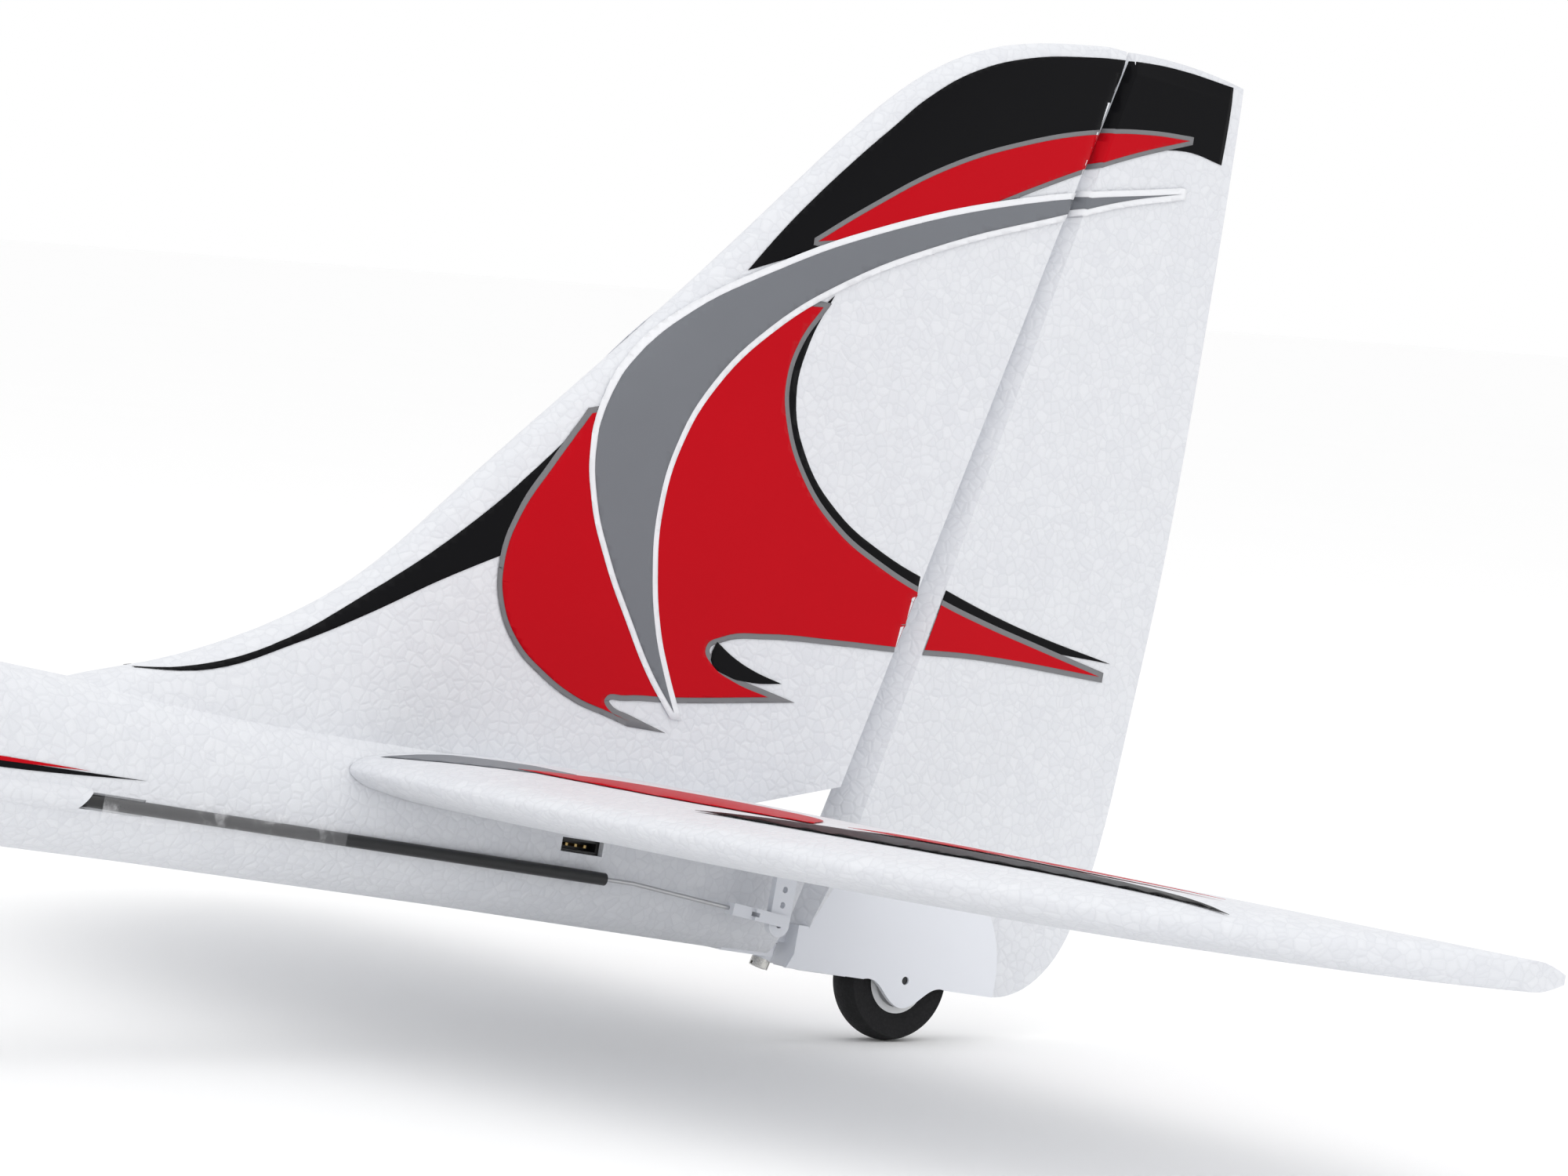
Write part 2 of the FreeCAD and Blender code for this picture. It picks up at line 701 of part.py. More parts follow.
def make_tailplane():
    panel = skinned([stab_section(*row) for row in stab_half_chord_points()])
    root, end = stab_root_y, elevator_end_y
    fixed_cut = behind_hinge(*elevator_line(0, end), fixed_v_slope, -hinge_bead * 0.6, 90.0, 30.0)
    moving = behind_hinge(*elevator_line(root, end - 0.8), 0.75, hinge_bead + hinge_clear, 90.0, 30.0)
    elevator = max(panel.common(moving).Solids, key=lambda s: s.Volume)
    bead = rod((elevator_hinge_x, root + 4, elevator_hinge_z), (elevator_hinge_x, end - 3, elevator_hinge_z),
               hinge_bead)
    spar_axis_z = stab_z(stab_spar_x)
    hole = rod((stab_spar_x, 0, spar_axis_z), (stab_spar_x, stab_spar_length / 2 + 0.5, spar_axis_z),
               stab_spar_radius + running_gap)
    stab = panel.cut(fixed_cut).fuse(bead).cut([hole, fuselage_body(stab_gap), fin_body()])
    stab = max(stab.Solids, key=lambda s: s.Volume)
    joiner = elevator_joiner()
    elevator = elevator.cut(joiner)
    add("stab_right", stab)
    add("stab_left", mirrored(stab))
    horn = elevator_horn()
    add("elevator_right", elevator)
    add("elevator_left", mirrored(elevator).cut(horn))
    add("elevator_joiner", joiner)
    add("elevator_horn", horn)
    add("stab_spar_tube", rod((stab_spar_x, -stab_spar_length / 2, spar_axis_z),
                              (stab_spar_x, stab_spar_length / 2, spar_axis_z), stab_spar_radius)
        .cut(rod((stab_spar_x, -200, spar_axis_z), (stab_spar_x, 200, spar_axis_z), stab_spar_radius - 0.8)))


def elevator_joiner():
    """Straight carbon rod through the stern's notch, let into both elevators."""
    x = elevator_hinge_x + joiner_offset
    z = stab_z(x)
    return rod((x, -(stab_root_y + 28.0), z), (x, stab_root_y + 28.0, z), joiner_radius)


def eyelet_slot(x, y0, y1, z_pin, growth, radius):
    """Hole for a pin that keeps its height while the lever swings: stretched away from
    the lever's pivot by growth."""
    low = z_pin - growth
    slot = box(x - radius, x + radius, y0, y1, low, z_pin)
    ends = [rod((x, y0, z), (x, y1, z), radius) for z in (low, z_pin)]
    return slot.fuse(ends).removeSplitter()


def elevator_horn():
    """Nylon lever under the port elevator's root, hanging straight below the hinge line."""
    x, z = elevator_hinge_x, elevator_hinge_z
    y1 = -horn_y + horn_plate / 2
    y0 = y1 - horn_plate
    r = elevator_horn_radius
    stem = prism_y([(x + 1.2, z - 1.6), (x + 10.5, z - 0.2), (x + 10.5, z - 5.5), (x + 2.6, z - 10.0),
                    (x + 2.9, z - r - 1.0), (x - 2.9, z - r - 1.0), (x - 2.9, z - 11.0), (x - 0.6, z - 5.0)],
                   y0, y1)
    foot = rod((x, y0, z - r - 1.0), (x, y1, z - r - 1.0), 2.9)
    pad = rod((x, y0 - 0.35, z - 12.5), (x, y1, z - 12.5), 2.9)
    pad = pad.fuse(box(x - 2.9, x + 2.9, y0 - 0.35, y1, z - r - 1.0, z - 12.5))
    pad = pad.fuse(rod((x, y0 - 0.35, z - r - 1.0), (x, y1, z - r - 1.0), 2.9))
    root = box(x + 3.0, x + 10.5, y0 - 2.5, y1 + 2.5, z - 3.2, z - 1.8)
    joiner_x = x + joiner_offset
    joiner_room = rod((joiner_x, y0 - 5, stab_z(joiner_x)), (joiner_x, y1 + 5, stab_z(joiner_x)),
                      joiner_radius + foam_fit)
    horn = stem.fuse([foot, pad, root]).removeSplitter().cut(joiner_room)
    growth = r / math.cos(math.radians(15.5)) - r
    cuts = [eyelet_slot(x, y0 - 2, y1 + 2, z - r, growth, clevis_pin_radius + 0.25)]
    for up in (3.6, 7.2):
        cuts.append(rod((x, y0 - 2, z - r + up), (x, y1 + 2, z - r + up), 0.75))
    return horn.cut(cuts)


def elevator_run_end():
    return (elevator_hinge_x, -horn_y, elevator_hinge_z - elevator_horn_radius)


def make_elevator_run():
    """Port control run: servo in the pod, rod in its sleeve, clevis on the horn."""
    pin_x, pin_y, pin_z = elevator_run_end()
    aft_start = (pin_x - clevis_length, blend(-sleeve_y, pin_y, 0.72), blend(sleeve_z, pin_z, 0.72))
    bend = (wire_bend_x, -sleeve_y, sleeve_z)
    servo_pin = (elevator_servo_x, -sleeve_y, sleeve_z)
    front = rod(servo_pin, bend, wire_radius)
    aft_end = tuple(blend(bend[i], (pin_x, pin_y, pin_z)[i],
                          (pin_x - clevis_length + 4.0 - bend[0]) / (pin_x - bend[0])) for i in range(3))
    aft = rod(bend, aft_end, wire_radius)
    z_bend = rod(servo_pin, (elevator_servo_x, -sleeve_y + 4.2, sleeve_z), wire_radius)
    elbows = [Part.makeSphere(wire_radius, Vector(*p)) for p in (servo_pin, bend)]
    wire = front.fuse([aft, z_bend] + elbows).removeSplitter()
    add("elevator_pushrod", wire)
    add("elevator_clevis", clevis(bend, (pin_x, pin_y, pin_z)).cut(rod(bend, aft_end, wire_radius)))
    make_sleeve("elevator_sleeve", -1)
    make_servo("elevator", elevator_servo_x, -1, elevator_horn_radius * math.radians(15.0))


def clevis(bend, pin):
    """Nylon fork with a metal-free pin: barrel on the wire, two tines across the horn."""
    pin_v, bend_v = Vector(*pin), Vector(*bend)
    direction = (pin_v - bend_v).normalize()
    frame = clevis_frame(pin_v, direction)
    gap = horn_plate / 2 + 0.35 + 0.35
    tine = 0.9
    barrel = box(-clevis_length, -6.0, -1.4, 1.4, -1.4, 1.4)
    web = box(-8.0, -4.6, -gap - tine, gap + tine, -1.4, 1.4)
    tines = [box(-5.0, 0.4, s * gap if s > 0 else -gap - tine, gap + tine if s > 0 else -gap, -1.4, 1.4)
             for s in (-1, 1)]
    ends = [rod((0.4, s * gap, 0), (0.4, s * (gap + tine), 0), 1.4) for s in (-1, 1)]
    pin_rod = rod((0, -gap - tine, 0), (0, gap + tine, 0), clevis_pin_radius)
    window = box(-8.6, -6.9, -4, 4, -0.5, 0.5)
    body = barrel.fuse([web] + tines + ends + [pin_rod]).removeSplitter().cut(window)
    return placed(body, frame)


def clevis_frame(origin, direction):
    x_axis = Vector(direction)
    y_axis = Vector(0, 1, 0)
    z_axis = x_axis.cross(y_axis).normalize()
    y_axis = Vector(0, 1, 0)
    x_flat = y_axis.cross(z_axis).normalize()
    matrix = FreeCAD.Matrix(x_flat.x, y_axis.x, z_axis.x, origin.x,
                            x_flat.y, y_axis.y, z_axis.y, origin.y,
                            x_flat.z, y_axis.z, z_axis.z, origin.z, 0, 0, 0, 1)
    return Placement(matrix)


def make_sleeve(name, side):
    y = side * sleeve_y
    tube = rod((sleeve_front, y, sleeve_z), (sleeve_end, y, sleeve_z), sleeve_radius)
    add(name, tube.cut(rod((sleeve_front - 1, y, sleeve_z), (sleeve_end + 1, y, sleeve_z), sleeve_bore)))


def make_servo(name, x, side, travel):
    """A mini servo on its side in the pod, its lever hanging beside the rod's end."""
    length, thick, deep = servo_size
    z = sleeve_z + servo_arm_radius
    arm_y = sleeve_y - 3.6
    case = box(x - length + 6.0, x + 6.0, arm_y - 2.2 - deep, arm_y - 2.2, z - thick / 2, z + thick / 2)
    ears = box(x - length + 1.5, x + 10.5, arm_y - 8.0, arm_y - 6.4, z - thick / 2, z + thick / 2)
    spline = rod((x, arm_y - 2.4, z), (x, arm_y - 0.6, z), 2.4)
    servo = case.fuse([ears, spline]).removeSplitter()
    r = servo_arm_radius
    arm = rod((x, arm_y - 0.5, z), (x, arm_y + 1.0, z), 3.5)
    lever = prism_y([(x - 3.3, z), (x - 2.2, z - r - 2.6), (x + 2.2, z - r - 2.6), (x + 3.3, z)],
                    arm_y - 0.5, arm_y + 1.0)
    growth = math.hypot(r, travel) - r
    slot = eyelet_slot(x, arm_y - 3, arm_y + 3, z - r, growth, wire_radius + slot_gap)
    arm = arm.fuse(lever).removeSplitter().cut(slot)
    if side < 0:
        servo, arm = mirrored(servo), mirrored(arm)
    add(name + "_servo", servo)
    add(name + "_arm", arm)


def make_tape():
    """Clear tape that holds the port sleeve in its groove."""
    x0, x1 = sleeve_exit + 1.0, 828.0
    lift = 0.12
    tape = lofted([tape_section(x0, lift), tape_section((x0 + x1) / 2, lift), tape_section(x1, lift)])
    add("sleeve_tape", tape)


def tape_section(x, lift):
    y = -sleeve_y - sleeve_radius - 0.02
    z = sleeve_z
    points = [(x, y, z - 3.2), (x, y - lift, z - 3.2), (x, y - lift, z + 3.4), (x, y, z + 3.4)]
    vectors = [Vector(*p) for p in points]
    return Part.makePolygon(vectors + vectors[:1])


# ---- rudder and tail wheel ----
def rudder_outline():
    """Side view behind the hinge line, round the lower rear corner."""
    top = fin_height
    low_x = rudder_axis_x(rudder_bottom)
    te = overall_length
    front = [Vector(low_x - 2, 0, rudder_bottom), Vector(rudder_axis_x(top) - 2, 0, top - 0.2)]
    crown = Part.Arc(front[1], Vector(te - 20.0, 0, top + 0.6), Vector(te - 1.6, 0, top - 1.2)).toShape()
    rear = spline_edge([(te - 1.6, 0, top - 1.2), (te - 0.9, 0, top - 20.0), (te, 0, 122.0),
                        (te - 0.6, 0, 73.0), (te - 2.8, 0, 38.0), (te - 6.6, 0, 1.0), (te - 9.4, 0, -10.0)])
    corner = spline_edge([(te - 9.4, 0, -10.0), (te - 13.2, 0, -19.2), (te - 20.5, 0, -27.0),
                          (te - 32.0, 0, rudder_bottom)])
    base = Part.makeLine(Vector(te - 32.0, 0, rudder_bottom), front[0])
    edge = Part.makeLine(front[0], front[1])
    face = Part.Face(Part.Wire([edge, crown, rear, corner, base]))
    face.translate(Vector(0, -30, 0))
    return face.extrude(Vector(0, 60, 0))


def rudder_section(z, half):
    """Rudder section: V front on the hinge line, full ridge, thin trailing edge."""
    x = rudder_axis_x(z) + hinge_bead + hinge_clear
    te = overall_length + 4.0
    ridge = x + 0.75 * half
    points = [(x, 0, z), (ridge, half, z), (te, 0.9, z), (te, -0.9, z), (ridge, -half, z)]
    vectors = [Vector(*p) for p in points]
    return Part.makePolygon(vectors + vectors[:1])


def bracket_web():
    """Front wall of the tail-wheel bracket, between its side plates."""
    low, split, high = knuckle_places()
    x = rudder_axis_x(split) + 3.4
    half = bracket_inner_half + bracket_wall
    return x, x + 3.0, half, rudder_bottom + 0.4, high


def make_rudder():
    levels = (rudder_bottom - 2, 0.0, fin_height * 0.5, fin_height - 16, fin_height - 5, fin_height + 1)
    halves = [hinge_half_thickness(z) * 0.97 for z in levels]
    halves[0] = bracket_inner_half
    halves[-1] = 1.2
    slabs = Part.makeLoft([rudder_section(z, h) for z, h in zip(levels, halves)], True, True)
    if slabs.Volume < 0:
        slabs.reverse()
    rudder = slabs.common(rudder_outline())
    x0, x1, half, z0, z1 = bracket_web()
    web_room = box(x0 - 20.0, x1 + foam_fit, -half - 5.0, half + 5.0, z0 - 10.0, z1 + foam_fit)
    rudder = rudder.cut([wheel_well(), rudder_bracket_rebate(), knuckle_room(), web_room])
    add("rudder", max(rudder.Solids, key=lambda s: s.Volume))


def wheel_well():
    """Slot in the rudder's foot that the tail wheel turns in."""
    r = tail_wheel_radius + 1.6
    h = tail_wheel_width / 2 + bracket_gap
    round_top = rod((tail_wheel_x, -h, tail_wheel_z), (tail_wheel_x, h, tail_wheel_z), r)
    return round_top.fuse(box(tail_wheel_x - r, tail_wheel_x + r, -h, h, tail_wheel_z - 30, tail_wheel_z))


def bracket_side_outline(grow=0.0):
    """Side plate of the tail-wheel bracket: swept front edge, rounded rear, axle lobe."""
    foot = rudder_bottom + 0.2 - grow
    top = rudder_bottom + 26.5 + grow
    front_low = rudder_axis_x(foot) + 3.2 - grow
    front_top = rudder_axis_x(top) + 8.5 - grow
    x, z = tail_wheel_x, tail_wheel_z
    lobe = 6.6 + grow
    rear = x + 27.0 + grow
    edges = [
        Part.makeLine(Vector(front_low, 0, foot), Vector(front_top, 0, top)),
        Part.makeLine(Vector(front_top, 0, top), Vector(rear - 11.5, 0, top)),
        Part.Arc(Vector(rear - 11.5, 0, top), Vector(rear - 1.6, 0, foot + 13.0), Vector(rear, 0, foot)).toShape(),
        Part.makeLine(Vector(rear, 0, foot), Vector(x + lobe + 6.0, 0, foot)),
        spline_edge([(x + lobe + 6.0, 0, foot), (x + lobe + 1.4, 0, foot - 0.8),
                     (x + lobe * 0.72, 0, z - lobe * 0.66), (x, 0, z - lobe),
                     (x - lobe * 0.72, 0, z - lobe * 0.66), (x - lobe - 1.4, 0, foot - 0.6),
                     (x - lobe - 6.0, 0, foot)]),
        Part.makeLine(Vector(x - lobe - 6.0, 0, foot), Vector(front_low, 0, foot)),
    ]
    return Part.Face(Part.Wire(edges))


def bracket_plate(y0, y1, grow=0.0):
    face = bracket_side_outline(grow)
    face.translate(Vector(0, y0, 0))
    return face.extrude(Vector(0, y1 - y0, 0))


def rudder_bracket_rebate():
    """Room in the rudder's sides for the bracket's plates."""
    inner = bracket_inner_half
    return Part.makeCompound([bracket_plate(inner, 20.0, 0.02), bracket_plate(-20.0, -inner, 0.02)])


def knuckle_places():
    """Z levels of the lower hinge along its raked axis: fixed knuckle, then the bracket's."""
    return boom_bottom - 1.2, boom_bottom + 3.2, boom_bottom + 8.2


def axis_point(z):
    return (rudder_axis_x(z), 0.0, z)


def knuckle_room():
    z0, _, z2 = knuckle_places()
    return rod(axis_point(z0 - 6), axis_point(z2 + 2.0), 2.6)


def make_tail_bracket():
    """U bracket round the rudder's foot: two plates, a front web and the upper knuckle."""
    inner = bracket_inner_half
    outer = inner + bracket_wall
    axle = rod((tail_wheel_x, -20, tail_wheel_z), (tail_wheel_x, 20, tail_wheel_z), tail_axle_radius)
    plates = [bracket_plate(inner, outer), bracket_plate(-outer, -inner)]
    low, split, high = knuckle_places()
    x0, x1, _, z0, z1 = bracket_web()
    web = box(x0, x1, -outer, outer, z0, z1)
    arm = box(x0 - 2.2, x0 + 0.6, -1.8, 1.8, split + 0.25, high - 0.3)
    knuckle = rod(axis_point(split + 0.15), axis_point(high), 2.2)
    spindle_hole = rod(axis_point(low - 10), axis_point(high + 10), hinge_screw_radius + running_gap)
    horn, slot = rudder_horn()
    bracket = plates[0].fuse([plates[1], web, arm, knuckle, horn]).removeSplitter()
    fixed_room = rod(axis_point(low - 8), axis_point(split + 0.05), 3.1)
    bracket = bracket.cut([spindle_hole, axle, slot, fixed_room])
    add("tail_wheel_bracket", max(bracket.Solids, key=lambda s: s.Volume))


def rudder_horn_z():
    return boom_bottom + 7.2


def rudder_horn_frame():
    """Frame on the raked hinge line at the steering arm's height."""
    return Placement(Vector(*axis_point(rudder_horn_z())), Rotation(Vector(0, 1, 0), rudder_rake()))


def rudder_horn():
    """Starboard steering arm of the bracket, square to the raked hinge line."""
    frame = rudder_horn_frame()
    r = rudder_horn_radius
    plate = polygon_face([(-1.8, 1.0, -0.7), (5.2, 1.0, -0.7), (5.2, 4.0, -0.7), (2.2, r + 2.4, -0.7),
                          (-2.2, r + 2.4, -0.7)])
    plate = plate.extrude(Vector(0, 0, 1.4))
    shrink = r * (1 / math.cos(math.radians(22.5)) - 1)
    hole = rod((0, r, -3), (0, r, 3), wire_radius + slot_gap)
    hole = hole.fuse([rod((0, r + shrink, -3), (0, r + shrink, 3), wire_radius + slot_gap),
                      box(-wire_radius - slot_gap, wire_radius + slot_gap, r, r + shrink, -3, 3)]).removeSplitter()
    return placed(plate, frame), placed(hole, frame)


def rudder_rake():
    dx = rudder_hinge_high[0] - rudder_hinge_low[0]
    dz = rudder_hinge_high[1] - rudder_hinge_low[1]
    return math.degrees(math.atan2(dx, dz))


def make_stern_hinge():
    """Fixed lower knuckle on a tongue set in the stern, and its screw."""
    low, split, high = knuckle_places()
    seat_front = elevator_hinge_x - 4.0
    ax = rudder_axis_x(split)
    tongue = box(seat_front + 0.02, ax - 0.4, -2.98, 2.98, boom_bottom - 0.3, boom_bottom + 4.98)
    knuckle = rod(axis_point(low), axis_point(split - 0.15), 2.2)
    top_cut = rod(axis_point(split - 0.15), axis_point(high + 6), 3.4)
    hinge = tongue.fuse(knuckle).removeSplitter().cut([top_cut, rod(axis_point(low - 10), axis_point(high + 10),
                                                                    hinge_screw_radius)])
    add("stern_hinge", max(hinge.Solids, key=lambda s: s.Volume))
    head = rod(axis_point(low - 1.9), axis_point(low), 2.3)
    slot = placed(box(-3, 3, -0.35, 0.35, -0.9, 0.7),
                  Placement(Vector(*axis_point(low - 1.9)), Rotation(Vector(0, 1, 0), rudder_rake())))
    shank = rod(axis_point(low), axis_point(high + 1.0), hinge_screw_radius)
    add("hinge_screw", head.fuse(shank).removeSplitter().cut(slot))


def make_rudder_run():
    """Starboard control run; its rod ends in a bend through the steering arm's slot."""
    frame = rudder_horn_frame()
    r = rudder_horn_radius
    low = frame.multVec(Vector(0, r, -3.6))
    high = frame.multVec(Vector(0, r, 4.6))
    bend = (wire_bend_x, sleeve_y, sleeve_z)
    servo_pin = (rudder_servo_x, sleeve_y, sleeve_z)
    front = rod(servo_pin, bend, wire_radius)
    aft = rod(bend, tuple(high), wire_radius)
    peg = rod(tuple(high), tuple(low), wire_radius)
    z_bend = rod(servo_pin, (rudder_servo_x, sleeve_y - 4.2, sleeve_z), wire_radius)
    elbows = [Part.makeSphere(wire_radius, Vector(*p)) for p in (servo_pin, bend, tuple(high))]
    add("rudder_pushrod", front.fuse([aft, peg, z_bend] + elbows).removeSplitter())
    make_sleeve("rudder_sleeve", 1)
    make_servo("rudder", rudder_servo_x, 1, rudder_horn_radius * math.radians(22.0))


def wheel(x, y, z, radius, width, hub_radius, bore, crown):
    """A foam tyre with rounded shoulders on its hub disc."""
    section = [Vector(hub_radius, -width * 0.42, 0), Vector(radius - crown, -width / 2, 0),
               Vector(radius, 0, 0), Vector(radius - crown, width / 2, 0), Vector(hub_radius, width * 0.42, 0)]
    edges = [Part.makeLine(section[0], section[1]),
             Part.Arc(section[1], section[2], section[3]).toShape(),
             Part.makeLine(section[3], section[4]), Part.makeLine(section[4], section[0])]
    tyre = Part.Face(Part.Wire(edges)).revolve(Vector(0, 0, 0), Vector(0, 1, 0), 360)
    rim = rod((0, -width * 0.42, 0), (0, width * 0.42, 0), hub_radius - 0.02)
    dish = [rod((0, s * width * 0.42, 0), (0, s * width * 0.20, 0), hub_radius - 1.6) for s in (-1, 1)]
    boss = rod((0, -width * 0.46, 0), (0, width * 0.46, 0), bore + 1.8)
    hub = rim.cut(dish).fuse(boss).removeSplitter().cut(rod((0, -width, 0), (0, width, 0), bore))
    place = Placement(Vector(x, y, z), Rotation())
    return placed(Part.Solid(tyre) if not tyre.Solids else tyre.Solids[0], place), placed(hub, place)


def make_tail_wheel():
    tyre, hub = wheel(tail_wheel_x, 0, tail_wheel_z, tail_wheel_radius, tail_wheel_width, tail_hub_radius,
                      tail_axle_radius + running_gap, 1.3)
    add("tail_wheel_tyre", tyre)
    add("tail_wheel_hub", hub)
    half = bracket_inner_half + bracket_wall
    add("tail_wheel_axle", rod((tail_wheel_x, -half + 0.5, tail_wheel_z), (tail_wheel_x, half - 0.5, tail_wheel_z),
                               tail_axle_radius))


# ---- main gear ----
def gear_slot_cut():
    """Open slot across the belly that the gear wire snaps into."""
    w = gear_wire_radius + 0.05
    top = rod((gear_x, -60, gear_top_z), (gear_x, 60, gear_top_z), w)
    return top.fuse(box(gear_x - w, gear_x + w, -60, 60, gear_top_z - 30, gear_top_z))


def make_main_gear():
    """One bent wire, with a wheel on each end."""
    shoulder = 30.0
    axle_in = main_track / 2 - main_wheel_width / 2 - 3.0
    axle_end = main_track / 2 + main_wheel_width / 2 + 3.5
    x, z = main_wheel_x, main_wheel_z
    points = [(gear_x, shoulder, gear_top_z), (x, axle_in, z), (x, axle_end, z)]
    bars = [rod((gear_x, -shoulder, gear_top_z), (gear_x, shoulder, gear_top_z), gear_wire_radius)]
    for side in (-1, 1):
        path = [(px, side * py, pz) for px, py, pz in points]
        for start, end in zip(path, path[1:]):
            bars.append(rod(start, end, gear_wire_radius))
        bars += [Part.makeSphere(gear_wire_radius, Vector(*p)) for p in path[:2]]
    wire = bars[0].fuse(bars[1:]).removeSplitter()
    add("main_gear_wire", wire)
    collars = []
    for side, name in ((-1, "left"), (1, "right")):
        tyre, hub = wheel(x, side * main_track / 2, z, main_wheel_radius, main_wheel_width, main_hub_radius,
                          gear_wire_radius + running_gap, 2.4)
        add("main_tyre_" + name, tyre)
        add("main_hub_" + name, hub)
        for offset in (-1, 1):
            y = side * (main_track / 2) + offset * (main_wheel_width * 0.46 + 0.2)
            collar = rod((x, y, z), (x, y + offset * 2.2, z), gear_wire_radius + 2.0)
            collars.append(collar.cut(wire))
    add("wheel_collars", *collars)


# ---- propeller and motor ----
def spinner_curve(x):
    """Spinner radius at x: a blunt ogive."""
    u = max(0.0, min(1.0, x / spinner_length))
    return spinner_radius * math.sqrt(1 - (1 - u) ** 2) ** 1.1


def blade_slots():
    half = blade_fold_slot / 2
    slots = [box(yoke_x - 6.0, spinner_length + 10, side * 28 - 20, side * 28 + 20, -half, half)
             for side in (-1, 1)]
    return slots


def make_spinner():
    steps = [spinner_length * u for u in (0.0, 0.04, 0.12, 0.25, 0.45, 0.7, 1.0)]
    profile = [(x, spinner_curve(x)) for x in steps]
    curve = spline_edge([(x, r, 0) for x, r in profile])
    base = Part.makeLine(Vector(spinner_length, spinner_radius, 0), Vector(spinner_length, 0, 0))
    axis = Part.makeLine(Vector(spinner_length, 0, 0), Vector(0, 0, 0))
    solid = Part.Face(Part.Wire([curve, base, axis])).revolve(Vector(0, 0, 0), Vector(1, 0, 0), 360)
    solid = solid.Solids[0] if solid.Solids else Part.Solid(solid)
    hollow = rod((9.0, 0, 0), (spinner_length + 1, 0, 0), 10.5)
    hollow = hollow.fuse(rod((17.0, 0, 0), (spinner_length + 1, 0, 0), 14.5))
    cone = solid.cut([hollow] + blade_slots())
    add("spinner_cone", max(cone.Solids, key=lambda s: s.Volume))
    plate = rod((spinner_length + 0.3, 0, 0), (spinner_length + 3.0, 0, 0), spinner_radius)
    plate = plate.cut(blade_slots())
    hub = rod((18.5, 0, 0), (spinner_length + 3.0, 0, 0), 6.5)
    yoke = box(yoke_x - 4.0, yoke_x + 4.0, -blade_pin_y - 3.4, blade_pin_y + 3.4, -4.6, 4.6)
    yoke = yoke.cut([box(yoke_x - 5, yoke_x + 5, side * blade_pin_y - 6.5, side * blade_pin_y + 6.5, -2.6, 2.6)
                     for side in (-1, 1)])
    body = plate.fuse([hub, yoke]).removeSplitter()
    body = body.cut([rod((0, 0, 0), (80, 0, 0), shaft_radius)] + [
        rod((yoke_x, side * blade_pin_y, -6), (yoke_x, side * blade_pin_y, 6), blade_pin_radius)
        for side in (-1, 1)])
    add("prop_yoke", max(body.Solids, key=lambda s: s.Volume))
    add("blade_pins", *[rod((yoke_x, side * blade_pin_y, -4.55), (yoke_x, side * blade_pin_y, 4.55), blade_pin_radius)
                        for side in (-1, 1)])


def blade_section(y, chord, thick, pitch):
    """Blade section across span station y, turned to its pitch."""
    upper, lower = [], []
    c, s = math.cos(math.radians(pitch)), math.sin(math.radians(pitch))
    for i in range(9):
        u = (1 - math.cos(math.pi * i / 8)) / 2
        along_chord = (u - 0.45) * chord
        half = thick * math.sqrt(max(0.0, u)) * (1 - u) * 1.3 + 0.12
        for points, sign in ((upper, 1), (lower, -0.45)):
            off = half * sign
            points.append((yoke_x - off * c - along_chord * s, y, along_chord * c - off * s))
    return list(reversed(upper)) + lower[1:]


def make_blades():
    start = blade_pin_y
    tip = start + blade_length
    stations = [(start + 9.0, 9.0, 3.6, 8.0), (start + 26.0, 19.0, 3.2, 30.0), (start + 55.0, 23.0, 2.6, 22.0),
                (start + 90.0, 19.0, 2.0, 16.0), (tip - 8.0, 11.0, 1.5, 13.0), (tip, 4.0, 1.0, 12.0)]
    blade = skinned([blade_section(*row) for row in stations])
    root = box(yoke_x - 3.4, yoke_x + 3.4, start, start + 10.5, -2.4, 2.4)
    eye = rod((yoke_x, start, -2.4), (yoke_x, start, 2.4), 3.6)
    pin_hole = rod((yoke_x, start, -5), (yoke_x, start, 5), blade_pin_radius + running_gap)
    blade = blade.fuse([root, eye]).removeSplitter().cut(pin_hole)
    blade = max(blade.Solids, key=lambda s: s.Volume)
    other = blade.copy()
    other.rotate(Vector(0, 0, 0), Vector(1, 0, 0), 180)
    add("blade_right", blade)
    add("blade_left", other)


def make_motor():
    back = motor_front + motor_length
    case = rod((motor_front, 0, 0), (back, 0, 0), motor_radius)
    grooves = []
    for i in range(8):
        angle = 2 * math.pi * i / 8
        y, z = motor_radius * math.cos(angle), motor_radius * math.sin(angle)
        grooves.append(rod((motor_front + 5, y, z), (back - 5, y, z), 1.6))
    flange = rod((motor_front - 3.0, 0, 0), (motor_front, 0, 0), motor_bay_radius - foam_fit)
    case = case.cut(grooves).fuse(flange).removeSplitter()
    case = case.cut(rod((0, 0, 0), (200, 0, 0), shaft_radius + running_gap))
    add("motor_case", case)
    add("motor_shaft", rod((18.6, 0, 0), (back + 3.0, 0, 0), shaft_radius))


# ---- equipment ----
def soft_block(name, x0, x1, y0, y1, z0, z1, edge):
    """A soft-edged block, such as a battery pack."""
    solid = box(x0, x1, y0, y1, z0, z1)
    solid = solid.makeFillet(edge, [e for e in solid.Edges if abs(e.tangentAt(0).x) > 0.9])
    add(name, solid)


def make_equipment():
    soft_block("battery", 124.0, 214.0, -13.0, 13.0, -20.0, 0.0, 3.0)
    soft_block("speed_controller", 250.0, 305.0, -13.0, 13.0, -30.0, -20.0, 1.5)
    soft_block("receiver", 340.0, 382.0, -12.5, 12.5, -26.0, -12.0, 1.0)


